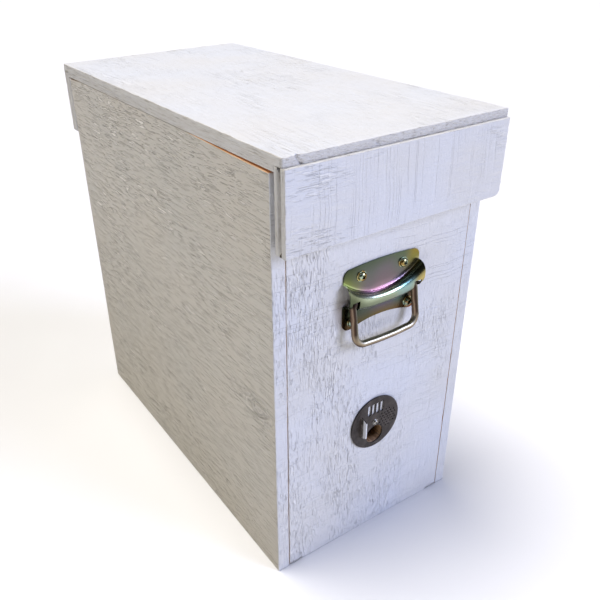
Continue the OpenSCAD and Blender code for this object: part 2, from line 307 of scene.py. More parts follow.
def makePaint(name, along, changes=None):
    look = dict(paintLook, **(changes or {}))
    mat, tree, shader, place = startMaterial(name)
    # patches where the veneer is rough, and calm areas between them
    patch = addNode(tree, "TexNoise", {"Scale": 1.0, "Detail": 3.0},
                    Vector=stretched(tree, place, along, look["patch"], look["patch"] * 2.4))
    lean = addNode(tree, "VectorMath", {"operation": "DOT_PRODUCT", 1: look["lean"]}, i0=place)
    uneven = addNode(tree, "Math", {"operation": "ADD"}, i0=patch, i1=lean.outputs["Value"])
    rough = addNode(tree, "MapRange", {"From Min": look["calm"] - 0.05, "From Max": look["calm"] + 0.09,
                                       "To Min": look["calmLevel"], "To Max": 1.0}, Value=uneven)
    # a slow sideways drift bends the grain
    drift = addNode(tree, "TexNoise", {"Scale": 1.0, "Detail": 1.0},
                    Vector=stretched(tree, place, along, look["driftWide"], look["driftLong"]))
    centred = addNode(tree, "VectorMath", {"operation": "SUBTRACT", 1: (0.5, 0.5, 0.5)},
                      i0=drift.outputs["Color"])
    bend = addNode(tree, "VectorMath", {"operation": "SCALE", "Scale": look["drift"] * mm}, i0=centred)
    bent = addNode(tree, "VectorMath", {"operation": "ADD"}, i0=place, i1=bend).outputs[0]
    crack = addNode(tree, "TexNoise", {"Scale": 1.0, "Detail": 1.0},
                    Vector=stretched(tree, bent, along, look["crackWide"], look["crackLong"]))
    split = addNode(tree, "MapRange", {"From Min": look["crackShare"] - 0.045, "From Max": look["crackShare"],
                                       "To Min": 1.0, "To Max": 0.0}, Value=crack)
    splits = addNode(tree, "Math", {"operation": "MULTIPLY"}, i0=split, i1=rough)
    ridge = addNode(tree, "TexNoise", {"Scale": 1.0, "Detail": 2.0, "Roughness": 0.5},
                    Vector=stretched(tree, bent, along, look["ridgeWide"], look["ridgeLong"]))
    crest = addNode(tree, "MapRange", {"From Min": look["ridgeFrom"], "From Max": look["ridgeFrom"] + 0.07},
                    Value=ridge)
    raised = addNode(tree, "Math", {"operation": "MULTIPLY"}, i0=crest, i1=rough)
    brush = addNode(tree, "TexNoise", {"Scale": 1.0, "Detail": 2.0},
                    Vector=stretched(tree, bent, along, look["brushWide"], look["brushLong"]))
    peel = addNode(tree, "TexNoise", {"Scale": 1000 / look["peelSize"], "Detail": 2.0}, Vector=place)
    # saw lines square to the grain, broken here and there
    cross = addNode(tree, "SeparateXYZ", i0=bent)
    level = addNode(tree, "Math", {"operation": "MULTIPLY", 1: 1000 / look["sawEvery"]},
                    i0=cross.outputs[along])
    wave = addNode(tree, "TexNoise", {"noise_dimensions": "1D", "Scale": 1.0, "Detail": 1.0}, W=level)
    off = addNode(tree, "Math", {"operation": "SUBTRACT", 1: 0.5}, i0=wave)
    far = addNode(tree, "Math", {"operation": "ABSOLUTE"}, i0=off)
    line = addNode(tree, "MapRange", {"From Min": 0.0, "From Max": look["sawWidth"], "To Min": 1.0,
                                      "To Max": 0.0}, Value=far)
    part = addNode(tree, "TexNoise", {"Scale": 1.0, "Detail": 2.0},
                   Vector=stretched(tree, place, along, *look["sawBreak"]))
    broken = addNode(tree, "MapRange", {"From Min": 0.42, "From Max": 0.58}, Value=part)
    saw = addNode(tree, "Math", {"operation": "MULTIPLY"}, i0=line, i1=broken)
    layers = [(splits, -look["crackDepth"]), (peel, look["peelDepth"]), (brush, look["brushDepth"]),
              (saw, -look["sawDepth"])]
    # painted highlights on the raised grain, and painted shade with some dirt in the splits
    tints = [(look["ridgeHighlightShare"], raised, look["thin"]), (look["crackShadeAndDirt"], splits, look["crack"])]
    if "knot" in look:
        # an oval knot with rings round it
        k = look["knot"]
        reach = ovalReach(tree, bent, (0, k["y"], k["z"]), (0, k["ry"], k["rz"]))
        wobble = addNode(tree, "TexNoise", {"Scale": 1000 / 13.0, "Detail": 3.0}, Vector=place)
        even = addNode(tree, "Math", {"operation": "MULTIPLY", 1: k["rings"]}, i0=reach)
        phase = addNode(tree, "Math", {"operation": "MULTIPLY_ADD", 1: k["uneven"]}, i0=wobble, i2=even)
        ring = addNode(tree, "Math", {"operation": "SINE"}, i0=phase)
        fade = addNode(tree, "MapRange", {"From Min": 0.75, "From Max": 1.5, "To Min": 1.0, "To Max": 0.0},
                       Value=reach)
        rings = addNode(tree, "Math", {"operation": "MULTIPLY"}, i0=ring, i1=fade)
        layers.append((rings, k["depth"]))
        tints.append((0.8, rings, k["tone"]))
    # relief in metres: ridges up, splits down, brush marks and paint texture over all of it
    relief = addNode(tree, "Math", {"operation": "MULTIPLY", 1: look["ridgeDepth"] * mm}, i0=raised)
    for source, depth in layers:
        relief = addNode(tree, "Math", {"operation": "MULTIPLY_ADD", 1: depth * mm}, i0=source, i2=relief)
    if "foot" in look:
        # painted shade: the board darkens towards its foot
        k = look["foot"]
        height = addNode(tree, "SeparateXYZ", i0=place).outputs["Z"]
        footShade = addNode(tree, "MapRange", {"From Min": k["from"] * mm, "From Max": k["to"] * mm,
                                          "To Min": k["share"], "To Max": 0.0}, Value=height)
        tints.append((1.0, footShade, k["tone"]))
    if "paintedShadow" in look:
        # a painted shadow: brown shade on the paint beside the handle, where the bead and bail cast it
        k = look["paintedShadow"]
        reach = ovalReach(tree, place, (k["x"], 0, k["z"]), (k["rx"], 0, k["rz"]))
        shadowFade = addNode(tree, "MapRange", {
            "interpolation_type": "SMOOTHSTEP", "From Min": 0.3, "From Max": 1.0, "To Min": k["share"],
            "To Max": 0.0}, Value=reach)
        tints.append((1.0, shadowFade, k["tone"]))
    for k in look.get("covered", ()):
        # under the disc the paint is unweathered and set near white, brighter than that to light the shaded
        # slots as painted light; round the flight hole the wood is bare
        reach = ovalReach(tree, place, (k["x"], 0, k["z"]), (k["radius"], 0, k["radius"]))
        under = addNode(tree, "Math", {"operation": "LESS_THAN", 1: 1.0}, i0=reach)
        tints.append((1.0, under, k["tone"]))
    # colour: slow clouds of warm and cool white, then each tint over them
    cloud = addNode(tree, "TexNoise", {"Scale": 1000 / look["cloud"], "Detail": 3.0}, Vector=place)
    mixed = addNode(tree, "MapRange", {"From Min": 0.35, "From Max": 0.65}, Value=cloud)
    tone = addNode(tree, "Mix", {"data_type": "RGBA", 6: hexColor(look["warm"]), 7: hexColor(look["cool"])},
                   Factor=mixed)
    for share, source, code in tints:
        part = addNode(tree, "Math", {"operation": "MULTIPLY", 1: share, "use_clamp": True}, i0=source)
        tone = addNode(tree, "Mix", {"data_type": "RGBA", 7: hexColor(code)}, Factor=part, i6=tone.outputs[2])
    gloss = addNode(tree, "MapRange", {"To Min": look["rough"] - 0.08, "To Max": look["rough"] + 0.12},
                    Value=peel)
    dress(tree, shader, tone.outputs[2], relief, gloss)
    return mat


axisX, axisY, axisZ = 0, 1, 2
paintUpright = makePaint("painted_plywood_upright_grain", axisZ)
paintFront = makePaint("painted_plywood_front", axisZ, {
    "lean": (-0.75, 0, 0),
    # near-white paint under the disc, partly painted light in its shaded slots, and bare wood round the
    # flight hole
    "covered": [{"x": 1.5, "z": 162.5, "radius": 34.0, "tone": "#fbfbfb"},
                {"x": 1.5, "z": 145.0, "radius": 13.6, "tone": "#8a6b49"}],
    # a painted shadow, brown, beside the left end of the handle's bead
    "paintedShadow": {"x": -50.0, "z": 326.0, "rx": 17.0, "rz": 26.0, "share": 0.6, "tone": "#6f5d4e"}})
# the sides' paint is set darker and warmer than the front's: painted shade
sidePaint = {
    "warm": "#cbc4b6", "cool": "#c8c3b7", "thin": "#f0eadf", "crack": "#8c8477",
    "ridgeDepth": 1.6, "ridgeWide": 2.1, "ridgeLong": 24.0, "ridgeFrom": 0.56, "ridgeHighlightShare": 0.6,
    "crackDepth": 0.9, "crackShare": 0.37, "crackWide": 1.1, "crackLong": 24.0,
    "calm": 0.5, "calmLevel": 0.3, "patch": 55.0, "sawDepth": 0.0,
}
# the left side took the weather: its grain stands up, and it has a knot; its ridges carry stronger painted
# highlights, its splits stronger painted shade, and it darkens towards its foot as painted shade
paintLeft = makePaint("painted_plywood_left_side", axisY,
                      dict(sidePaint, ridgeDepth=3.8, ridgeHighlightShare=1.0, crackDepth=2.2, crackShadeAndDirt=0.6, knot=knot,
                           foot={"from": 40.0, "to": 330.0, "share": 0.5, "tone": "#ada594"}))
paintRight = makePaint("painted_plywood_right_side", axisY, sidePaint)
paintTop = makePaint("painted_plywood_top", axisY, {
    "warm": "#dddcda", "cool": "#dcdee1", "thin": "#eeeeee", "crack": "#b5b3b0", "calmLevel": 0.4,
    "ridgeDepth": 0.5, "ridgeLong": 60.0, "ridgeFrom": 0.5, "ridgeHighlightShare": 0.3,
    "crackDepth": 0.3, "crackLong": 40.0, "crackShare": 0.29, "sawDepth": 0.0})
paintSkirt = makePaint("painted_plywood_skirt", axisX,
                       {"ridgeDepth": 0.5, "crackDepth": 0.5, "crackLong": 22.0, "calm": 0.54})


# Ply edge under paint: end grain and glue lines leave it coarse and banded.
def makeEdge(name, across, length):
    # across is the axis the plies are stacked along, length the axis their fibres show along
    mat, tree, shader, place = startMaterial(name)
    scale = [1000 / 6.0] * 3
    scale[across], scale[length] = 1000 / 1.3, 1000 / 22.0
    fibre = addNode(tree, "VectorMath", {"operation": "MULTIPLY", 1: scale}, i0=place)
    layers = addNode(tree, "TexNoise", {"Scale": 1.0, "Detail": 3.0, "Roughness": 0.6}, Vector=fibre)
    pits = addNode(tree, "TexNoise", {"Scale": 1000 / 2.2, "Detail": 2.0}, Vector=place)
    both = addNode(tree, "Math", {"operation": "MULTIPLY_ADD", 1: 0.5}, i0=pits, i2=layers)
    relief = addNode(tree, "Math", {"operation": "MULTIPLY", 1: 1.3 * mm}, i0=both)
    ramp = addNode(tree, "ValToRGB", {"stops": [(0.3, "#aba69d"), (0.42, "#cbc7bf"), (0.6, "#d4d2cd")]},
                   Fac=layers)
    dress(tree, shader, ramp.outputs[0], relief, 0.66)
    return mat


edgeLevel = makeEdge("painted_ply_edge_level", axisZ, axisY)
edgeUprightY = makeEdge("painted_ply_edge_upright", axisY, axisZ)


# Bare spruce ply: warm orange-tan with darker late-wood lines, dry and matt.
def makeBareWood(name, along, light="#d8a469", dark="#a76d3a", paintedPast=None):
    mat, tree, shader, place = startMaterial(name)
    grain = addNode(tree, "TexNoise", {"Scale": 1.0, "Detail": 5.0, "Roughness": 0.6, "Distortion": 0.5},
                    Vector=stretched(tree, place, along, 2.4, 60.0))
    tone = addNode(tree, "ValToRGB", {"stops": [(0.35, dark), (0.6, light)]}, Fac=grain).outputs[0]
    relief = addNode(tree, "Math", {"operation": "MULTIPLY", 1: 0.3 * mm}, i0=grain)
    if paintedPast is not None:
        # bare only near the front; past this distance (mm along Y) the brush reached it
        split = addNode(tree, "SeparateXYZ", i0=place)
        reach = addNode(tree, "MapRange", {"From Min": (paintedPast - 25) * mm, "From Max": paintedPast * mm},
                        Value=split.outputs["Y"])
        tone = addNode(tree, "Mix", {"data_type": "RGBA", 7: hexColor("#a39e94")}, Factor=reach,
                       i6=tone).outputs[2]
    dress(tree, shader, tone, relief, 0.75)
    return mat


barePly = makeBareWood("bare_spruce_ply", axisY)
rawTopEdge = makeBareWood("bare_ply_top_edge", axisY, "#f6cfa4", "#e0a66c", paintedPast=-95.0)
darkPly = makeBareWood("shaded_ply_core", axisZ, "#5d5347", "#3a332b")
boreWood = makeBareWood("bare_flight_hole_wood", axisY, "#8f6e48", "#523a22")
pinePlaned = makeBareWood("planed_pine", axisY, "#e0bf86", "#c1935a")
pineUpright = makeBareWood("planed_pine_upright", axisZ, "#e0bf86", "#c1935a")


# Pressed beeswax foundation: translucent golden sheet with a hexagonal cell pattern.
def makeWax():
    mat, tree, shader, place = startMaterial("pressed_beeswax")
    cells = addNode(tree, "TexVoronoi", {"feature": "DISTANCE_TO_EDGE", "Scale": 1000 / 5.3,
                                         "Randomness": 0.0},
                    Vector=place)
    wall = addNode(tree, "MapRange", {"From Min": 0.0, "From Max": 0.15, "To Min": 1.0, "To Max": 0.0},
                   Value=cells.outputs["Distance"])
    relief = addNode(tree, "Math", {"operation": "MULTIPLY", 1: 0.6 * mm}, i0=wall)
    tone = addNode(tree, "Mix", {"data_type": "RGBA", 6: hexColor("#d9a53c"), 7: hexColor("#efc768")},
                   Factor=wall)
    dress(tree, shader, tone.outputs[2], relief, 0.42)
    shader.inputs["Subsurface Weight"].default_value = 0.15
    return mat


beeswax = makeWax()


# Yellow zinc passivate on pressed steel: a thin clear film that goes through gold, green,
# pink and blue with its thickness, over a satin metal. Scratches set how rough it is.
def dressMetal(tree, shader, place, tone, scratch, smoothest, roughest):
    grit = addNode(tree, "TexNoise", {"Scale": 1000 / scratch, "Detail": 3.0}, Vector=place)
    gloss = addNode(tree, "MapRange", {"To Min": smoothest, "To Max": roughest}, Value=grit)
    relief = addNode(tree, "Math", {"operation": "MULTIPLY", 1: 0.02 * mm}, i0=grit)
    dress(tree, shader, tone, relief, gloss, 1.0)


def makeZinc(name, stops, cloudSize, rough, scratch):
    mat, tree, shader, place = startMaterial(name)
    cloud = addNode(tree, "TexNoise", {"Scale": 1000 / cloudSize, "Detail": 2.0, "Distortion": 0.8},
                    Vector=place)
    ramp = addNode(tree, "ValToRGB", {"stops": stops}, Fac=cloud)
    dressMetal(tree, shader, place, ramp.outputs[0], scratch, rough - 0.06, rough + 0.1)
    return mat


# The plate's own map runs 0 to 1 across its width and 0 to 1 down its profile: flange to 0.3,
# rolled bead to 0.7, lower flange to 1. Each column of the map has its own run of colours: the film's
# tints, with painted highlights at the fold and crest and painted dark reflections on the bead.
filmAndReflectionRuns = {
    0.06: [(0.0, "#3f4733"), (0.16, "#5a6240"), (0.27, "#77804a"), (0.31, "#b9d182"), (0.35, "#dde5c2"),
           (0.42, "#8a9070"), (0.5, "#5a6248"), (0.6, "#3f4731"), (0.68, "#2c3424"), (0.8, "#3a3f2c"),
           (1.0, "#5d4429")],
    0.30: [(0.0, "#4f5a49"), (0.12, "#62655f"), (0.25, "#71686a"), (0.285, "#94808a"), (0.3, "#e3b2c6"),
           (0.318, "#b6a3ad"), (0.37, "#c9c0c4"),
           (0.43, "#c3cfae"), (0.5, "#828b72"), (0.62, "#545c4b"), (0.78, "#4c5148"), (1.0, "#5a5234")],
    0.55: [(0.0, "#56604f"), (0.1, "#6b6668"), (0.22, "#76686c"), (0.278, "#957c84"), (0.3, "#eab2c2"),
           (0.318, "#8a8088"),
           (0.42, "#b9c9a0"), (0.48, "#98a388"), (0.6, "#5d605e"), (0.76, "#5c5762"), (1.0, "#6a5a33")],
    0.80: [(0.0, "#57644a"), (0.12, "#636b5e"), (0.27, "#6f6a6b"), (0.3, "#bba9ba"), (0.33, "#39423a"),
           (0.43, "#7fa6a0"), (0.48, "#93ada6"), (0.6, "#56635b"), (0.76, "#4b625b"), (1.0, "#6b4f2c")],
    0.97: [(0.0, "#8b7a34"), (0.15, "#7f7a3e"), (0.28, "#a9a173"), (0.33, "#2f3527"), (0.42, "#4c4f3a"),
           (0.5, "#b9a86a"), (0.6, "#7a6c44"), (0.7, "#3a2c20"), (0.85, "#5a3b28"), (1.0, "#7a4a2a")],
}


def makePlateZinc():
    mat, tree, shader, place = startMaterial("yellow_zinc_plate")
    sheet = addNode(tree, "UVMap", {"uv_map": "sheet"})
    # the bands wander a little instead of running true
    cloud = addNode(tree, "TexNoise", {"Scale": 1000 / 34.0, "Detail": 2.0}, Vector=place)
    centred = addNode(tree, "VectorMath", {"operation": "SUBTRACT", 1: (0.5, 0.5, 0.5)},
                      i0=cloud.outputs["Color"])
    shift = addNode(tree, "VectorMath", {"operation": "MULTIPLY", 1: (0.25, 0.05, 0)}, i0=centred)
    at = addNode(tree, "VectorMath", {"operation": "ADD"}, i0=sheet, i1=shift)
    uv = addNode(tree, "SeparateXYZ", i0=at)
    tone, before = None, None
    for u, stops in sorted(filmAndReflectionRuns.items()):
        ramp = addNode(tree, "ValToRGB", {"stops": stops}, Fac=uv.outputs["Y"]).outputs[0]
        if tone is None:
            tone = ramp
        else:
            part = addNode(tree, "MapRange",
                           {"interpolation_type": "SMOOTHSTEP", "From Min": before, "From Max": u},
                           Value=uv.outputs["X"])
            tone = addNode(tree, "Mix", {"data_type": "RGBA"}, Factor=part, i6=tone, i7=ramp).outputs[2]
        before = u
    dressMetal(tree, shader, place, tone, 0.7, 0.17, 0.3)
    return mat


zincPlate = makePlateZinc()
# the back of the pressing and the screws' recesses: dull, brown and rough, a painted shade where little light
# reaches
zincShadedBack = makeZinc("yellow_zinc_painted_shade", [(0.3, "#2e2822"), (0.5, "#43392f"), (0.7, "#574635")], 12.0,
                      0.45, 0.7)


rodSheenAndShade = {
    # copper-brown round the legs, with painted highlights at their sides and a painted dark reflection down
    # their middle, by how far round they face to the side
    "X": [(0.0, "#75604f"), (0.08, "#93806c"), (0.22, "#4e3d33"), (0.42, "#382e28"), (0.62, "#625b4d"),
          (0.9, "#a3a08c")],
    # a pale painted highlight along the top of the grip and painted shade on its underside, by how far up it
    # faces
    "Z": [(0.0, "#3e342b"), (0.25, "#6b5a48"), (0.5, "#a5977f"), (0.72, "#b5af9c"), (0.86, "#8b846b"),
          (1.0, "#7c7a63")],
    "grip": 293.0, "leg": 304.0,       # mm, heights between which the one passes into the other
}


def makeRodZinc():
    # the tone goes round with the surface: painted highlights, dark reflections and shade by which way the
    # rod faces
    mat, tree, shader, place = startMaterial("yellow_zinc_rod")
    turned = addNode(tree, "Attribute", {"attribute_name": "turned"}).outputs["Vector"]
    cloud = addNode(tree, "TexNoise", {"Scale": 1000 / 14.0, "Detail": 2.0}, Vector=place)
    shift = addNode(tree, "Math", {"operation": "MULTIPLY_ADD", 1: 0.35, 2: -0.175}, i0=cloud)
    facing = addNode(tree, "SeparateXYZ", i0=turned)
    tones = {}
    for axis in ("X", "Z"):
        side = addNode(tree, "MapRange", {"From Min": -1.0, "From Max": 1.0}, Value=facing.outputs[axis])
        moved = addNode(tree, "Math", {"operation": "ADD"}, i0=side, i1=shift)
        tones[axis] = addNode(tree, "ValToRGB", {"stops": rodSheenAndShade[axis]}, Fac=moved).outputs[0]
    split = addNode(tree, "SeparateXYZ", i0=place)
    leg = addNode(tree, "MapRange", {"From Min": rodSheenAndShade["grip"] * mm, "From Max": rodSheenAndShade["leg"] * mm},
                  Value=split.outputs["Z"])
    tone = addNode(tree, "Mix", {"data_type": "RGBA"}, Factor=leg, i6=tones["Z"], i7=tones["X"])
    dressMetal(tree, shader, place, tone.outputs[2], 0.8, 0.3, 0.44)
    return mat


zincRod = makeRodZinc()
zincScrew = makeZinc("yellow_zinc_screw",
                     [(0.35, "#8f7440"), (0.45, "#b7a56c"), (0.55, "#9fbfae"), (0.65, "#7f6a48")],
                     9.0, 0.2, 0.5)


# Dark oxidised steel sheet: brown-black, satin, with faint mottling and rubbed spots.
def makeGunmetal():
    mat, tree, shader, place = startMaterial("oxidised_steel_sheet")
    mottle = addNode(tree, "TexNoise", {"Scale": 1000 / 7.0, "Detail": 5.0}, Vector=place)
    ramp = addNode(tree, "ValToRGB", {"stops": [(0.35, "#352f2c"), (0.55, "#443e3a"), (0.72, "#544c47")]},
                   Fac=mottle)
    relief = addNode(tree, "Math", {"operation": "MULTIPLY", 1: 0.05 * mm}, i0=mottle)
    gloss = addNode(tree, "MapRange", {"To Min": 0.42, "To Max": 0.6}, Value=mottle)
    dress(tree, shader, ramp.outputs[0], relief, gloss, 0.6)
    return mat


gunmetal = makeGunmetal()
# a painted brown reflection and a painted edge highlight for the disc's tab
tabReflectionSteel = makeZinc("oxidised_steel_painted_reflection", [(0.35, "#5b453c"), (0.6, "#7a6156")], 5.0, 0.5, 0.5)
edgeHighlightSteel = makeZinc("oxidised_steel_painted_highlight", [(0.35, "#8a8480"), (0.6, "#c4bfbb")], 5.0, 0.4, 0.5)
brightSteel = makeZinc("bright_zinc_steel", [(0.35, "#77746f"), (0.6, "#a6a39c")], 6.0, 0.18, 0.5)
print("materials made")


boardLook = {
    "fine": 1.15,         # mm between points across the grain
    "coarse": 4.5,        # mm between points along the grain
    "edgeRadius": 0.9,    # worn, painted arris
    "plies": 5,
}


def boardPoints(length, step, radius):
    n = max(2, int(round((length - 2 * radius) / step)))
    return np.linspace(radius, length - radius, n + 1)


def makeBoard(name, origin, uDir, vDir, size, steps, depthAt, edgeDepth, materials,
              edgeSlots=(1, 1, 1, 1), reshape=None, warp=None, groove=None, extraRows=()):
    # a board whose good face is a grid, with worn arrises, edge rows through its thickness and a plain back;
    # origin is the good face's corner, u and v run along the face, and the thickness goes back from it;
    # depthAt(p) presses the face in, edgeDepth(p, depth) presses the edges in, both in millimetres
    origin, uDir, vDir = (np.array(a, float) for a in (origin, uDir, vDir))
    back = -np.cross(uDir, vDir)
    r = boardLook["edgeRadius"]
    us = boardPoints(size[0], steps[0], r)
    vs = boardPoints(size[1], steps[1], r)
    nu, nv = len(us), len(vs)
    gridU, gridV = np.meshgrid(us, vs, indexing="ij")
    face = origin + gridU.reshape(-1, 1) * uDir + gridV.reshape(-1, 1) * vDir
    face = face + depthAt(face)[:, None] * back
    index = np.arange(nu * nv).reshape(nu, nv)
    quads = np.stack([index[:-1, :-1], index[1:, :-1], index[1:, 1:], index[:-1, 1:]], -1).reshape(-1, 4)
    faces = quads.tolist()
    slots = [0] * len(faces)
    # the loop round the face's border, anticlockwise, with each point's outward direction and side
    loop = [(i, 0) for i in range(nu - 1)] + [(nu - 1, j) for j in range(nv - 1)]
    loop += [(i, nv - 1) for i in range(nu - 1, 0, -1)] + [(0, j) for j in range(nv - 1, 0, -1)]
    sides = [0] * (nu - 1) + [1] * (nv - 1) + [2] * (nu - 1) + [3] * (nv - 1)
    outward = np.array([((i == nu - 1) - (i == 0)) * uDir + ((j == nv - 1) - (j == 0)) * vDir
                        for i, j in loop], float)
    corner = np.linalg.norm(outward, axis=1) > 1.1
    outward[corner] *= 0.86
    base = np.array([origin + us[i] * uDir + vs[j] * vDir for i, j in loop])
    pressed = face[[index[i, j] for i, j in loop]] - base
    thick = size[2]
    rows = [(r * math.sin(a), r * (1 - math.cos(a))) for a in (math.pi / 6, math.pi / 3)]
    inner = sorted(list(np.linspace(r, thick - r * 0.6, max(6, int(thick / 1.3)))) + list(extraRows))
    rows += [(r, d) for d in inner] + [(r * 0.7, thick)]
    points = [face]
    previous = np.array([index[i, j] for i, j in loop])
    count = len(face)
    for push, depth in rows:
        ring = base + outward * push + back * depth
        fade = max(0.0, 1 - depth / (3 * r))
        ring = ring + pressed * fade
        if depth < thick:
            ring = ring - outward * edgeDepth(ring, depth)[:, None]
        if reshape is not None:
            ring = reshape(ring, depth)
        now = np.arange(count, count + len(loop))
        a, b = previous, np.roll(previous, -1)
        c, d = np.roll(now, -1), now
        faces += np.stack([d, c, b, a], -1).tolist()
        dark = groove is not None and groove["from"] < depth < groove["to"]
        slots += [groove["slot"] if dark and s == groove["side"] else edgeSlots[s] for s in sides]
        points.append(ring)
        previous = now
        count += len(loop)
    faces.append(previous[::-1].tolist())
    slots.append(len(materials) - 1)
    points = np.concatenate(points)
    if warp is not None:
        points = warp(points)
    return meshObject(name, points, faces, materials, slots)


def grainDepth(p, along, seed, strength=1.0, splits=0.0):
    # raised grain in patches, shallow hollows over all of it, and short splits along the grain
    cell = np.full(3, 1 / 4.2)
    cell[along] = 1 / 34
    wide = np.full(3, 1 / 48.0)
    wide[along] = 1 / 110
    drift = p + 5 * softNoise(p / 70, seed + 5)[:, None] * (np.arange(3) != along)
    furrow = 1 - np.abs(softNoise(drift * cell, seed))
    patch = between(softNoise(p * wide, seed + 7), -0.2, 0.45)
    narrow = np.full(3, 1 / 2.6)
    narrow[along] = 1 / 19
    torn = between(softNoise(drift * narrow, seed + 9), 0.45, 0.75)
    torn = torn * between(softNoise(p * wide, seed + 11), -0.1, 0.35)
    hollow = 0.15 * (softNoise(p / 90, seed + 3) + 1)
    return strength * (0.05 + 0.85 * furrow ** 5 * patch) + splits * torn + hollow


def plyEdge(seed, rough=0.35, cell=(1.6, 2.2, 14.0)):
    # edge relief: every other ply is end grain and sits back a little, with torn spots
    def press(p, depth):
        ply = boardLook["plies"] * depth / 15.0
        low = 0.5 - 0.5 * np.cos(2 * np.pi * ply)
        torn = between(softNoise(p / np.array(cell), seed), 0.2, 0.75)
        fine = softNoise(p / 1.7, seed + 1)
        return rough * (1.1 * low + 0.9 * torn + 0.3 * fine + 0.35)
    return press


def openJoint(seed):
    # an end panel's upright edges: the glue joint has opened, most of all near the bottom
    base = plyEdge(seed, 0.12)

    def press(p, depth):
        low = 1 - between(p[:, 2], 150, 330)
        broken = between(softNoise(p / np.array([30.0, 30.0, 26.0]), seed + 5), -0.2, 0.3)
        return base(p, depth) + (np.abs(p[:, 0]) > 100) * (0.75 * np.maximum(low, 0.6 * broken))
    return press


def sideDepth(p):
    # the knot stands out as an oval boss with rings round it
    q = np.hypot((p[:, 1] - knot["y"]) / knot["ry"], (p[:, 2] - knot["z"]) / knot["rz"])
    ring = np.sin(q * knot["rings"] + softNoise(p / 9, 5) * 1.3)
    near = np.exp(-(q / 1.7) ** 2)
    depth = grainDepth(p, axisY, 11, 0.35, 0.25)
    return depth + near * (0.35 + 0.5 * ring) * (q > 0.35) + 0.3 * np.exp(-(q / 0.3) ** 2)


slit = {
    # the sides' top edges fall away towards both ends, which opens a slit under the lid; all in mm
    "frontFall": 2.3, "frontFrom": 95, "frontTo": 247,
    "rearFall": 1.8, "rearFrom": 200, "rearTo": 244,
    "high": 30,
}


def slitTop(points, top):
    y = points[:, 1]
    fall = slit["frontFall"] * between(-y, slit["frontFrom"], slit["frontTo"])
    fall += slit["rearFall"] * between(y, slit["rearFrom"], slit["rearTo"])
    points[:, 2] -= fall * between(points[:, 2], top - slit["high"], top - 1)
    return points


def makeEnd(name, node, turned, paint, seeds, marks):
    # an end panel, front or rear; its good face looks out along -Y, or along +Y when turned
    low, high = nodeBox(node)
    size = high - low
    corner = (high[0], high[1], low[2]) if turned else tuple(low)
    return makeBoard(name, corner, (-1 if turned else 1, 0, 0), (0, 0, 1), (size[0], size[2], size[1]),
                     (boardLook["fine"], boardLook["coarse"]),
                     lambda p: np.clip(grainDepth(p, axisZ, seeds[0], 0.32, 0.4) + sawLines(p, marks), 0, 2),
                     openJoint(seeds[1]), [paint, edgeLevel, barePly])


def makeSide(name, node, turned, paint, depthAt, seed):
    # a side panel; its good face looks out along -X, or along +X when turned
    low, high = nodeBox(node)
    size = high - low
    corner = (high[0], low[1], low[2]) if turned else (low[0], high[1], low[2])
    return makeBoard(name, corner, (0, 1 if turned else -1, 0), (0, 0, 1), (size[1], size[2], size[0]),
                     (boardLook["coarse"], boardLook["fine"]), lambda p: np.clip(depthAt(p), 0, 2),
                     plyEdge(seed, 0.16), [paint, paintUpright, rawTopEdge, barePly], (1, 1, 2, 1),
                     warp=lambda points: slitTop(points, high[2]))


def sawLines(p, heights):
    # faint marks left by the saw, square to the grain
    depth = np.zeros(len(p))
    for i, z in enumerate(heights):
        wobble = 1.2 * softNoise(p / 60, 90 + i)
        depth += 0.35 * np.exp(-((p[:, 2] - z - wobble) / 3.0) ** 2)
    return depth


def sawMarks(p):
    # upright saw lines on the right of the skirt, and a swirl of rough grain on its left third
    lines = 0.15 * between(np.abs(softNoise(p * np.array([1 / 3.5, 0, 1 / 200]), 133)), 0.35, 0.8)
    lines = lines * between(p[:, 0], 0, 60)
    swirl = np.hypot((p[:, 0] + 78) / 26, (p[:, 2] - 447) / 15)
    rings = np.exp(-swirl ** 2) * (0.35 + 0.3 * np.sin(9 * swirl + 2 * softNoise(p / 12, 134)))
    return 0.1 + lines + rings


left = makeSide("left_side_board", "left_side_panel", False, paintLeft, sideDepth, 21)
right = makeSide("right_side_board", "right_side_panel", True, paintRight,
                 lambda p: grainDepth(p, axisY, 31, 0.35, 0.25), 41)
front = makeEnd("front_board", "front_panel", False, paintFront, (51, 61), (111, 210, 293))
rear = makeEnd("rear_board", "rear_panel", True, paintUpright, (71, 81), ())
print("case boards made")


frameLedge = {"deep": 9.0, "drop": 17.0}      # mm, cut into the inner top edge of both end panels


def ledgeCut(board, node, outerSign):
    # the ledge that the frames hang on
    low, high = nodeBox(node)
    size = (high[0] - low[0] + 4, 2 * frameLedge["deep"], 2 * frameLedge["drop"])
    place = (0, high[1] if outerSign < 0 else low[1], high[2])
    cutAway(board, boxCutter("ledge_cutter", size, place, barePly))


ledgeCut(front, "front_panel", -1)
ledgeCut(rear, "rear_panel", 1)


def flightHole():
    mount = next(m for m in frame["record"]["mounts"] if m["name"] == "flight_hole")
    r = mount["dims"]["r_mm"]
    centre = np.array(mount["pos_m"]) / mm
    n = 64
    points, faces = [], []
    for y in (-14, 14):
        for k in range(n):
            a = 2 * math.pi * k / n
            ripple = r + 0.12 * math.sin(5 * a) + 0.08 * math.sin(11 * a + 1)
            points.append((centre[0] + ripple * math.cos(a), centre[1] + y, centre[2] + ripple * math.sin(a)))
    faces += [[k, (k + 1) % n, n + (k + 1) % n, n + k] for k in range(n)]
    faces += [list(range(n))[::-1], list(range(n, 2 * n))]
    cutter = meshObject("flight_cutter", points, faces, [boreWood])
    cleanMesh(cutter)
    cutAway(front, cutter)


flightHole()
print("flight hole bored")


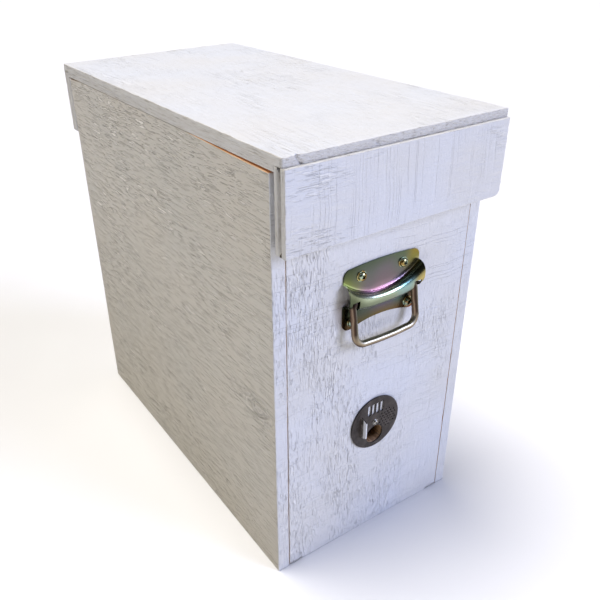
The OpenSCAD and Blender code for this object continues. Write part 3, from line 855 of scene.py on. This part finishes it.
def makeLid():
    low, high = nodeBox("lid_board")
    size = high - low
    fine, coarse = boardLook["fine"] * 1.2, boardLook["coarse"]
    frontInner = nodeBox("lid_front_skirt")[1][1]
    rearInner = nodeBox("lid_rear_skirt")[0][1]
    skirtTop = nodeBox("lid_front_skirt")[1][2]
    seat = high[2] - skirtTop

    def overSkirts(ring, depth):
        # below the skirts' tops the board is cut back to the skirts' inner faces
        out = ring.copy()
        if depth > seat:
            out[:, 1] = np.clip(out[:, 1], frontInner + 0.1, rearInner - 0.1)
        return out

    coarseEdge = plyEdge(111, 0.5, (16.0, 16.0, 1.7))

    def damagedEdge(p, depth):
        # a split at the front left corner and a nick further along
        x, z = p[:, 0], p[:, 2]
        along = np.clip((502 - z) / 7, 0, 1)
        crack = 2.6 * np.exp(-((x + 120 - 6 * along) / 1.1) ** 2)
        nick = 2.2 * np.exp(-(np.hypot(x + 34, z - 500) / 2.6) ** 2)
        return coarseEdge(p, depth) * np.where(p[:, 1] < 0, 0.5, 1.0) + (crack + nick) * (p[:, 1] < -260)

    board = makeBoard("lid_board_painted", (low[0], low[1], high[2]), (1, 0, 0), (0, 1, 0),
                      (size[0], size[1], size[2]),
                      (fine, coarse), lambda p: np.clip(grainDepth(p, axisY, 101, 0.7), 0, 2), damagedEdge,
                      [paintTop, edgeLevel, barePly], reshape=overSkirts,
                      extraRows=(seat - 0.02, seat + 0.02))
    cleanMesh(board)
    sLow, sHigh = nodeBox("lid_front_skirt")
    s = sHigh - sLow
    torn = plyEdge(141, 0.45, (2.2, 1.7, 14.0))
    split = {"from": 7.2, "to": 10.6, "deep": 9.0, "side": 3, "slot": 2}

    def splitEnd(p, depth):
        # the left end shows its plies, with a deep split between two of them
        open = (p[:, 0] < 0) * (split["from"] < depth < split["to"]) * between(p[:, 2], 416, 424)
        return torn(p, depth) * (1 - 0.8 * between(p[:, 2], 490, 494)) + split["deep"] * open

    def roundCorner(points):
        # the lower right corner is worn round
        r = 7.0
        q = np.stack([points[:, 0] - (sHigh[0] - r), (sLow[2] + r) - points[:, 2]], 1)
        inside = (q > 0).all(axis=1)
        scale = np.max(q, axis=1) / np.maximum(np.linalg.norm(q, axis=1), 1e-6)
        moved = q * scale[:, None]
        points[inside, 0] = sHigh[0] - r + moved[inside, 0]
        points[inside, 2] = sLow[2] + r - moved[inside, 1]
        return points

    skirtFace = lambda p: np.clip(0.7 * grainDepth(p, axisX, 131) + sawMarks(p), 0, 2)
    frontSkirt = makeBoard("front_skirt_board", (sLow[0], sLow[1], sLow[2]), (1, 0, 0), (0, 0, 1),
                           (s[0], s[2], s[1]),
                           (2.0, fine), skirtFace, splitEnd, [paintSkirt, edgeUprightY, darkPly, paintSkirt],
                           warp=roundCorner, groove=split)
    rLow, rHigh = nodeBox("lid_rear_skirt")
    s = rHigh - rLow
    rearSkirt = makeBoard("rear_skirt_board", (rHigh[0], rHigh[1], rLow[2]), (-1, 0, 0), (0, 0, 1),
                          (s[0], s[2], s[1]),
                          (2.5, fine), lambda p: np.clip(0.7 * grainDepth(p, axisX, 151), 0, 2),
                          plyEdge(161, 0.5, (2.2, 1.7, 14.0)),
                          [paintSkirt, edgeUprightY, paintSkirt])
    return board, frontSkirt, rearSkirt


lidBoard, frontSkirt, rearSkirt = makeLid()
print("lid boards made")


plate = {
    "width": 100.0, "sheet": 1.3,
    "top": 33.8, "foot": -37.5, "arch": -31.0, "corner": 8.0, "cornerTop": 23.6, "cornerFoot": -29.5,
    "topArc": 400.0, "footArc": 130.0,
    "foldArc": 74.0, "beadTop": -1.5, "beadFoot": -17.0, "footRise": 8.8,
    "crest": 10.4, "flare": 2.4, "power": 2.4,
    "notchTop": -0.8, "notchWide": 9.9,
    "screws": ((27.6, 20.4), (38.0, -28.5)),
}
bail = {
    "rod": 7.5, "span": 83.0, "reach": 46.6, "bow": 1.2,
    "tilt": 10.0,                    # degrees, how far it hangs off upright at rest
    "pivot": (-5.55, -5.5),          # mm, out from the panel and up from the plate's centre
    "corner": 12.0, "shoulder": 5.25, "stub": 10.0,
}


def plateTop(x):
    arc = plate["top"] - plate["topArc"] + math.sqrt(plate["topArc"] ** 2 - x * x)
    over = abs(x) - (plate["width"] / 2 - plate["corner"])
    if over > 0:
        return min(arc, plate["cornerTop"] + math.sqrt(max(0, plate["corner"] ** 2 - over ** 2)))
    return arc


def plateFoot(x):
    arc = plate["arch"] - plate["footArc"] + math.sqrt(plate["footArc"] ** 2 - x * x)
    over = abs(x) - (plate["width"] / 2 - plate["corner"])
    if over > 0:
        return plate["cornerFoot"] - math.sqrt(max(0, plate["corner"] ** 2 - over ** 2))
    return max(arc, plate["foot"])


def beadPoint(x, turn):
    upper = plate["beadTop"] + plate["foldArc"] - math.sqrt(plate["foldArc"] ** 2 - x * x)
    lower = plate["beadFoot"] + plate["footRise"] * abs(2 * x / plate["width"]) ** 4
    out = plate["crest"] + plate["flare"] * (2 * x / plate["width"]) ** 2 - plate["sheet"]
    half, middle, p = (upper - lower) / 2, (upper + lower) / 2, 2 / plate["power"]
    c, s = math.cos(turn), math.sin(turn)
    return -out * max(s, 0) ** p, middle + half * math.copysign(abs(c) ** p, c)


def makePlate(name, hub, facing):
    # hub is the plate's centre on the panel; facing is -1 at the front and 1 at the rear
    half = plate["width"] / 2
    inner = half - plate["corner"]
    xs = sorted([-inner + 2 * inner * i / 48 for i in range(49)]
                + [s * (inner + plate["corner"] * math.sin(math.pi / 2 * k / 6)) for s in (-1, 1)
                   for k in range(1, 7)])
    points, uvs = [], []
    upperRows, archRows, footRows = 9, 26, 8
    for x in xs:
        column = []
        firstZ, lastZ = beadPoint(x, 0)[1], beadPoint(x, math.pi)[1]
        top, foot = plateTop(x), plateFoot(x)
        for k in range(upperRows):
            column.append((0, top + (firstZ + 1.0 - top) * k / (upperRows - 1), 0.3 * k / (upperRows - 1)))
        for k in range(archRows + 1):
            y, z = beadPoint(x, math.pi * k / archRows)
            column.append((y, z, 0.3 + 0.4 * k / archRows))
        for k in range(footRows):
            column.append((0, lastZ - 1.0 + (foot - lastZ + 1.0) * k / (footRows - 1),
                           0.7 + 0.3 * k / (footRows - 1)))
        for y, z, v in column:
            points.append((x, -plate["sheet"] + y, z))
            uvs.append((0.5 + x / plate["width"], v))
    rows = upperRows + archRows + 1 + footRows
    faces = [[i * rows + k, i * rows + k + 1, (i + 1) * rows + k + 1, (i + 1) * rows + k]
             for i in range(len(xs) - 1) for k in range(rows - 1)]
    made = meshObject(name, points, faces, [zincPlate, zincShadedBack])
    layer = made.data.uv_layers.new(name="sheet")
    for loop in made.data.loops:
        layer.data[loop.index].uv = uvs[loop.vertex_index]
    sub = made.modifiers.new("smooth", "SUBSURF")
    sub.levels = sub.render_levels = 1
    wall = made.modifiers.new("sheet", "SOLIDIFY")
    wall.thickness = plate["sheet"] * mm
    wall.offset = -1.0
    # the back and rim of the sheet take the dark zinc: painted shade
    wall.material_offset = 1
    bake(made)
    cleanMesh(made)
    for side in (-1, 1):
        # each leg of the bail comes out through a notch below the bead
        size = (plate["notchWide"], 30, 36)
        place = (side * bail["span"] / 2, -15.05 - plate["sheet"], plate["notchTop"] - 18)
        cutAway(made, boxCutter("notch_cutter", size, place, zincPlate))
    smoothByAngle(made, 40)
    placeOnEnd(made, hub, facing)
    return made


def placeOnEnd(obj, hub, facing):
    turn = Matrix.Rotation(math.pi if facing > 0 else 0, 4, "Z")
    obj.data.transform(Matrix.Translation(Vector(hub) * mm) @ turn)
    obj.data.update()


def sweepRod(name, path, radius, sides, material):
    # a round rod along a path of points, with domed ends
    path = [Vector(p) for p in path]
    points, faces, turned = [], [], []
    normal = Vector((0, 1, 0))
    rings = []
    for i, p in enumerate(path):
        ahead = (path[min(i + 1, len(path) - 1)] - path[max(i - 1, 0)]).normalized()
        normal = (normal - ahead * normal.dot(ahead)).normalized()
        rings.append((p, ahead, normal.copy()))
    domes = [(0.0, 0.35), (0.12, 0.75), (0.35, 0.95)]
    first, last = rings[0], rings[-1]
    full = [(first[0] + first[1] * d * radius, first[1], first[2], w) for d, w in domes]
    full += [(p, a, n, 1.0) for p, a, n in rings[1:-1]]
    full += [(last[0] - last[1] * d * radius, last[1], last[2], w) for d, w in reversed(domes)]
    for p, ahead, n, w in full:
        side = ahead.cross(n)
        for k in range(sides):
            a = 2 * math.pi * k / sides
            outward = n * math.cos(a) + side * math.sin(a)
            points.append(p + outward * radius * w)
            turned.extend(outward)
    for i in range(len(full) - 1):
        for k in range(sides):
            a, b = i * sides + k, i * sides + (k + 1) % sides
            faces.append([a, b, b + sides, a + sides])
    faces.append(list(range(sides))[::-1])
    end = (len(full) - 1) * sides
    faces.append(list(range(end, end + sides)))
    made = meshObject(name, points, faces, [material])
    # which way each point of the rod faces, for its painted highlights and shade
    made.data.attributes.new("turned", "FLOAT_VECTOR", "POINT").data.foreach_set("vector", turned)
    cleanMesh(made)
    return made


def makeBail(name, hub, facing):
    leg = bail["span"] / 2
    path = []

    def bend(cx, cz, r, start, stop, n):
        for k in range(n + 1):
            a = math.radians(start + (stop - start) * k / n)
            path.append((cx + r * math.cos(a), 0, cz + r * math.sin(a)))

    sr, cr, reach = bail["shoulder"], bail["corner"], bail["reach"]
    stubEnd = -(leg - sr - bail["stub"])
    path.append((stubEnd, 0, 0))
    path.append((stubEnd - 3, 0, 0))
    bend(-leg + sr, -sr, sr, 90, 180, 8)
    bend(-leg + cr, -reach + cr, cr, 180, 262, 10)
    n = 14
    for k in range(1, n):
        x = (-leg + cr) + (2 * leg - 2 * cr) * k / n
        path.append((x, 0, -reach - bail["bow"] * (1 - (x / (leg - cr)) ** 2) + 0.1))
    bend(leg - cr, -reach + cr, cr, 278, 360, 10)
    bend(leg - sr, -sr, sr, 0, 90, 8)
    path.append((-stubEnd + 3, 0, 0))
    path.append((-stubEnd, 0, 0))
    made = sweepRod(name, path, bail["rod"] / 2, 24, zincRod)
    tilt = Matrix.Rotation(math.radians(-bail["tilt"]), 4, "X")
    shift = Matrix.Translation(Vector((0, bail["pivot"][0], bail["pivot"][1])) * mm)
    made.data.transform(shift @ tilt)
    placeOnEnd(made, hub, facing)
    return made


def plateHub(node):
    # centre of a handle plate on the panel's face
    low, high = nodeBox(node)
    wallY = high[1] if low[1] < 0 else low[1]
    return ((low[0] + high[0]) / 2, wallY, low[2] - plate["foot"])


frontHub, rearHub = plateHub("front_handle_plate"), plateHub("rear_handle_plate")
frontPlate = makePlate("front_plate_pressed", frontHub, -1)
rearPlate = makePlate("rear_plate_pressed", rearHub, 1)
frontRod = makeBail("front_bail_rod", frontHub, -1)
rearRod = makeBail("rear_bail_rod", rearHub, 1)
print("handles made")


handleScrewLook = {"head": 10.6, "high": 4.0, "recess": 6.0, "slot": 1.8}
pivotScrewLook = {"head": 7.0, "high": 2.2, "recess": 3.4, "slot": 0.9}
screwTurn = 1.2       # radians, the most that one head stands round from another


def screwHead(name, look, material):
    # a pan head that faces -Y, with its seat at the origin; the profile is (radius, height) in shares
    profile = [(0.55, 0.0), (0.565, 0.07), (0.54, 0.15), (0.475, 0.19), (0.47, 0.4),
               (0.43, 0.66), (0.37, 0.84), (0.27, 0.96), (0.14, 1.0)]
    width, high, n = look["head"], look["high"], 36
    points, faces = [], []
    for r, h in profile:
        for k in range(n):
            a = 2 * math.pi * k / n
            points.append((r * width * math.cos(a), -h * high, r * width * math.sin(a)))
    for i in range(len(profile) - 1):
        faces += [[i * n + k, i * n + (k + 1) % n, (i + 1) * n + (k + 1) % n, (i + 1) * n + k]
                  for k in range(n)]
    faces.append(list(range(n)))
    faces.append(list(range((len(profile) - 1) * n, len(profile) * n)))
    made = meshObject(name, points, faces, [material])
    cleanMesh(made)
    # the recess faces take the dark zinc: painted shade
    for turn in (0.25, 0.25 + math.pi / 2):
        size = (look["recess"], high * 1.3, look["slot"])
        cutAway(made, boxCutter("recess", size, (0, -high, 0), zincShadedBack, taper=0.55, turn=turn))
    smoothByAngle(made, 35)
    return made


def screwTree():
    # puts one screw on each point of the input mesh; the head takes one finish and its recess the other
    tree, start = startTree("screws on points", {
        "Points": "Geometry", "Screw": "Object", "Turn": "Float",
        "Finish": "Material", "Recess": "Material"}, "Screws")
    part = addNode(tree, "GeometryNodeObjectInfo", {"transform_space": "ORIGINAL"}, Object=start["Screw"])
    spin = addNode(tree, "FunctionNodeRandomValue", {"data_type": "FLOAT", "Seed": 4}, Max=start["Turn"])
    turn = addNode(tree, "CombineXYZ", Y=spin.outputs[1])
    put = addNode(tree, "GeometryNodeInstanceOnPoints", Points=start["Points"],
                  Instance=part.outputs["Geometry"], Rotation=turn)
    made = addNode(tree, "GeometryNodeRealizeInstances", Geometry=put)
    slot = addNode(tree, "GeometryNodeInputMaterialIndex")
    for finish, test in (("Recess", "GREATER_THAN"), ("Finish", "LESS_THAN")):
        chosen = addNode(tree, "Math", {"operation": test, 1: 0.5}, i0=slot)
        made = addNode(tree, "GeometryNodeSetMaterial", Geometry=made, Selection=chosen,
                       Material=start[finish])
    addNode(tree, "NodeGroupOutput", i0=made)
    return tree


screwPlacer = screwTree()


def placeScrews(name, places, screw, finish):
    made = meshObject(name, places, [], [])
    # the recess takes the dark zinc, a painted shade
    runTree(made, screwPlacer, {"Screw": screw, "Turn": screwTurn, "Finish": finish, "Recess": zincShadedBack})
    return made


handleScrew = screwHead("handle_screw", handleScrewLook, zincScrew)


def handleScrews(name, hub, facing):
    places = [(s * x, -plate["sheet"], z) for x, z in plate["screws"] for s in (-1, 1)]
    made = placeScrews(name, places, handleScrew, zincScrew)
    placeOnEnd(made, hub, facing)
    return made


frontScrews = handleScrews("front_pan_heads", frontHub, -1)
rearScrews = handleScrews("rear_pan_heads", rearHub, 1)
bpy.data.objects.remove(handleScrew)
print("screws placed")


disc = {
    "across": 70.0, "sheet": 1.3, "bore": 4.1, "bevel": 0.18,
    "hole": 24.0, "holeDrop": 17.5,
    "slots": 4, "slotPitch": 6.1, "slotWide": 4.2, "slotLong": 15.0, "slotRise": 19.4,
    "vent": 2.0, "ventPitch": 4.5, "ventReach": 12.5, "ventX": 18.5, "ventCount": 7,
    "tabX": -20.0, "tabHigh": 9.0, "tabLow": -12.0, "tabLong": 27.5, "tabTaper": 3.0,
}


def discSpline(curve, outline):
    spline = curve.splines.new("POLY")
    spline.points.add(len(outline) - 1)
    for point, (x, z) in zip(spline.points, outline):
        point.co = (x * mm, z * mm, 0, 1)
    spline.use_cyclic_u = True


def ringOf(x, z, r, n):
    return [(x + r * math.cos(2 * math.pi * k / n), z + r * math.sin(2 * math.pi * k / n)) for k in range(n)]


def slotOf(x, z, wide, long, n=10):
    r, straight = wide / 2, (long - wide) / 2
    upper = [(x + r * math.cos(math.pi * k / n), z + straight + r * math.sin(math.pi * k / n))
             for k in range(n + 1)]
    lower = [(x - r * math.cos(math.pi * k / n), z - straight - r * math.sin(math.pi * k / n))
             for k in range(n + 1)]
    return upper + lower


def ventTree():
    # drills the sheet with staggered rows of holes inside a round patch
    tree, start = startTree("perforated patch", {
        "Sheet": "Geometry", "Hole": "Float", "Pitch": "Float", "Reach": "Float", "Count": "Int",
        "Centre": "Vector", "Finish": "Material"}, "Drilled")
    rise = addNode(tree, "Math", {"operation": "MULTIPLY", 1: math.sin(math.radians(60))}, i0=start["Pitch"])
    gaps = addNode(tree, "Math", {"operation": "SUBTRACT", 1: 1.0}, i0=start["Count"])
    wide = addNode(tree, "Math", {"operation": "MULTIPLY"}, i0=start["Pitch"], i1=gaps)
    tall = addNode(tree, "Math", {"operation": "MULTIPLY"}, i0=rise, i1=gaps)
    grid = addNode(tree, "GeometryNodeMeshGrid", Size_X=wide, Size_Y=tall, Vertices_X=start["Count"],
                   Vertices_Y=start["Count"])
    # every other row moves half a pitch aside, and points beyond the reach go
    place = addNode(tree, "GeometryNodeInputPosition")
    split = addNode(tree, "SeparateXYZ", i0=place)
    row = addNode(tree, "Math", {"operation": "DIVIDE"}, i0=split.outputs["Y"], i1=rise)
    whole = addNode(tree, "Math", {"operation": "ROUND"}, i0=row)
    odd = addNode(tree, "Math", {"operation": "PINGPONG", 1: 1.0}, i0=whole)
    half = addNode(tree, "Math", {"operation": "MULTIPLY", 1: 0.5}, i0=start["Pitch"])
    aside = addNode(tree, "Math", {"operation": "MULTIPLY"}, i0=odd, i1=half)
    shift = addNode(tree, "CombineXYZ", X=aside)
    staggered = addNode(tree, "GeometryNodeSetPosition", Geometry=grid, Offset=shift)
    away = addNode(tree, "VectorMath", {"operation": "LENGTH"}, i0=place).outputs["Value"]
    beyond = addNode(tree, "Math", {"operation": "GREATER_THAN"}, i0=away, i1=start["Reach"])
    patch = addNode(tree, "GeometryNodeDeleteGeometry", {"domain": "POINT"}, Geometry=staggered,
                    Selection=beyond)
    radius = addNode(tree, "Math", {"operation": "MULTIPLY", 1: 0.5}, i0=start["Hole"])
    drill = addNode(tree, "GeometryNodeMeshCylinder", {"Vertices": 16, "Depth": 6 * mm}, Radius=radius)
    drills = addNode(tree, "GeometryNodeInstanceOnPoints", Points=patch, Instance=drill)
    real = addNode(tree, "GeometryNodeRealizeInstances", Geometry=drills)
    placed = addNode(tree, "GeometryNodeTransform", {"Rotation": (math.pi / 2, 0, 0)}, Geometry=real,
                     Translation=start["Centre"])
    drilled = addNode(tree, "GeometryNodeMeshBoolean", {"operation": "DIFFERENCE", "solver": "EXACT"},
                      Mesh_1=start["Sheet"], Mesh_2=placed)
    dressed = addNode(tree, "GeometryNodeSetMaterial", Geometry=drilled, Material=start["Finish"])
    addNode(tree, "NodeGroupOutput", i0=dressed)
    return tree


def makeDisc():
    curve = bpy.data.curves.new("disc_outline", "CURVE")
    curve.dimensions = "2D"
    curve.fill_mode = "BOTH"
    inset = disc["bevel"]
    curve.extrude = (disc["sheet"] / 2 - inset) * mm
    curve.bevel_depth = inset * mm
    curve.bevel_resolution = 2
    discSpline(curve, ringOf(0, 0, disc["across"] / 2 - inset, 160))
    discSpline(curve, ringOf(0, 0, disc["bore"] / 2 + inset, 24))
    discSpline(curve, ringOf(0, -disc["holeDrop"], disc["hole"] / 2 + inset, 72))
    for i in range(disc["slots"]):
        x = (i - (disc["slots"] - 1) / 2) * disc["slotPitch"]
        discSpline(curve, slotOf(x, disc["slotRise"], disc["slotWide"] + 2 * inset,
                                 disc["slotLong"] + 2 * inset))
    flat = linkObject("disc_outline", curve)
    mesh = bpy.data.meshes.new_from_object(flat.evaluated_get(bpy.context.evaluated_depsgraph_get()))
    bpy.data.objects.remove(flat)
    mesh.transform(Matrix.Rotation(math.pi / 2, 4, "X"))
    made = linkObject("entrance_disc_sheet", mesh)
    cleanMesh(made)
    runTree(made, ventTree(), {
        "Hole": disc["vent"] * mm, "Pitch": disc["ventPitch"] * mm, "Reach": disc["ventReach"] * mm,
        "Count": disc["ventCount"], "Centre": (disc["ventX"] * mm, 0, 0), "Finish": gunmetal})
    mesh = made.data
    # the tab stands square to the sheet and narrows towards its free edge
    work = bmesh.new()
    work.from_mesh(mesh)
    t, span = disc["sheet"], disc["tabLong"]
    grid = []
    for u in np.linspace(0, 1, 12):
        h = u * disc["tabHigh"]
        taper = disc["tabTaper"] * max(0, (h - 1.5) / (disc["tabHigh"] - 1.5)) ** 1.5
        low, high = disc["tabLow"] + taper, disc["tabLow"] + span - taper
        ring = []
        for x in (disc["tabX"] - t + 0.05, disc["tabX"] - 0.02):
            for z in np.linspace(low, high, 9) if x < disc["tabX"] - 0.5 else np.linspace(high, low, 9):
                ring.append(work.verts.new(Vector((x, -t / 2 + 0.1 - h, z)) * mm))
        grid.append(ring)
    for level, (a, b) in enumerate(zip(grid[:-1], grid[1:])):
        n = len(a)
        for k in range(n):
            side = work.faces.new((a[k], a[(k + 1) % n], b[(k + 1) % n], b[k]))
            # the tab's upper edge takes a painted highlight, and the part of its near face next to the sheet
            # a painted brown reflection
            upperEdge, near = k == 8, k < 8 and level < 5
            side.material_index = 1 if upperEdge else 2 if near else 0
    work.faces.new(grid[-1])
    work.faces.new(grid[0][::-1])
    bmesh.ops.remove_doubles(work, verts=work.verts, dist=0.000004)
    bmesh.ops.recalc_face_normals(work, faces=work.faces)
    work.to_mesh(mesh)
    work.free()
    mesh.materials.append(edgeHighlightSteel)
    mesh.materials.append(tabReflectionSteel)
    low, high = nodeBox("disc_screw")
    back = nodeBox("entrance_disc")[1][1]
    centre = Vector(((low[0] + high[0]) / 2, back - disc["sheet"] / 2, (low[2] + high[2]) / 2))
    mesh.transform(Matrix.Translation(centre * mm))
    smoothByAngle(made, 35)
    return made


discSheet = makeDisc()
pivotHead = screwHead("pivot_screw", pivotScrewLook, brightSteel)
pivotLow, pivotHigh = nodeBox("disc_screw")
pivotSeat = ((pivotLow[0] + pivotHigh[0]) / 2, pivotLow[1] + pivotScrewLook["high"],
             (pivotLow[2] + pivotHigh[2]) / 2)
pivotHeads = placeScrews("disc_pivot_head", [pivotSeat], pivotHead, brightSteel)
bpy.data.objects.remove(pivotHead)
print("entrance disc made")


for name, obj in nodes.items():
    if name.endswith("foundation"):
        chosen = beeswax
    elif name.startswith("frame_"):
        chosen = pineUpright if name.endswith("side_bars") else pinePlaned
    elif name == "floor_board":
        chosen = barePly
    elif name in ("case_nails", "lid_nails"):
        chosen = paintUpright    # the nail heads are painted over
    else:
        continue
    obj.data.materials.clear()
    obj.data.materials.append(chosen)

riders = [
    (left, "case", "painted_plywood", ["left_side_panel"]),
    (right, "case", "painted_plywood", ["right_side_panel"]),
    (front, "case", "painted_plywood", ["front_panel"]),
    (rear, "case", "painted_plywood", ["rear_panel"]),
    (lidBoard, "lid", "painted_plywood", ["lid_board"]),
    (frontSkirt, "lid", "painted_plywood", ["lid_front_skirt"]),
    (rearSkirt, "lid", "painted_plywood", ["lid_rear_skirt"]),
    (frontPlate, "case", "yellow_zinc", ["front_handle_plate"]),
    (rearPlate, "case", "yellow_zinc", ["rear_handle_plate"]),
    (frontScrews, "case", "yellow_zinc", ["front_handle_screws"]),
    (rearScrews, "case", "yellow_zinc", ["rear_handle_screws"]),
    (frontRod, "front_bail", "yellow_zinc", ["front_bail"]),
    (rearRod, "rear_bail", "yellow_zinc", ["rear_bail"]),
    (discSheet, "entrance_disc", "dark_gunmetal", ["entrance_disc"]),
    (pivotHeads, "case", "bright_steel", ["disc_screw"]),
]
for piece, body, slotName, replaced in riders:
    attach(piece, body)
    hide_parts(*replaced)
print("pieces ride on their bodies")


def makeFloor():
    # pale seamless floor, matt
    mat, tree, shader, place = startMaterial("studio_floor")
    cloud = addNode(tree, "TexNoise", {"Scale": 3.0, "Detail": 2.0}, Vector=place)
    ramp = addNode(tree, "ValToRGB", {"stops": [(0.3, "#e2e2e2"), (0.7, "#e6e6e6")]}, Fac=cloud)
    tree.links.new(ramp.outputs[0], shader.inputs["Base Color"])
    shader.inputs["Roughness"].default_value = 0.95
    far = 40000      # mm, so its end is lost to sight
    corners = [(-far, -far, 0), (far, -far, 0), (far, far, 0), (-far, far, 0)]
    floor = meshObject("floor", corners, [[0, 1, 2, 3]], [mat])


makeFloor()
studio = {
    "world": {"color": "#fcfcfe", "strength": 0.06},
    # direction is where the light comes from: azimuth from the front towards the right, then elevation
    "key": {"azimuth": 36, "elevation": 24, "spread": 30, "power": 2.74, "color": "#cdd7ff"},
    "overhead": {"azimuth": -135, "elevation": 77, "spread": 30, "power": 3.6, "color": "#fffbf6"},
}


def softSun(name, spec):
    data = bpy.data.lights.new(name, "SUN")
    data.angle = math.radians(spec["spread"])
    data.energy = spec["power"]
    data.color = hexColor(spec["color"])[:3]
    light = linkObject(name, data)
    az, el = math.radians(spec["azimuth"]), math.radians(spec["elevation"])
    towards = Vector((math.sin(az) * math.cos(el), -math.cos(az) * math.cos(el), math.sin(el)))
    light.location = towards * 3
    light.rotation_euler = (-towards).to_track_quat("-Z", "Y").to_euler()


softSun("key", studio["key"])
softSun("overhead", studio["overhead"])
world = bpy.data.worlds.new("studio")
world.use_nodes = True
sky = world.node_tree
backdrop = sky.nodes["Background"]
backdrop.inputs[0].default_value = hexColor(studio["world"]["color"])
# the backdrop shows pale and lights little
seen = addNode(sky, "LightPath").outputs["Is Camera Ray"]
dim = addNode(sky, "MapRange", {"To Min": studio["world"]["strength"], "To Max": 1.0}, Value=seen)
sky.links.new(dim.outputs[0], backdrop.inputs[1])
bpy.context.scene.world = world
bpy.context.scene.view_settings.view_transform = "Standard"
print("floor and lights made")
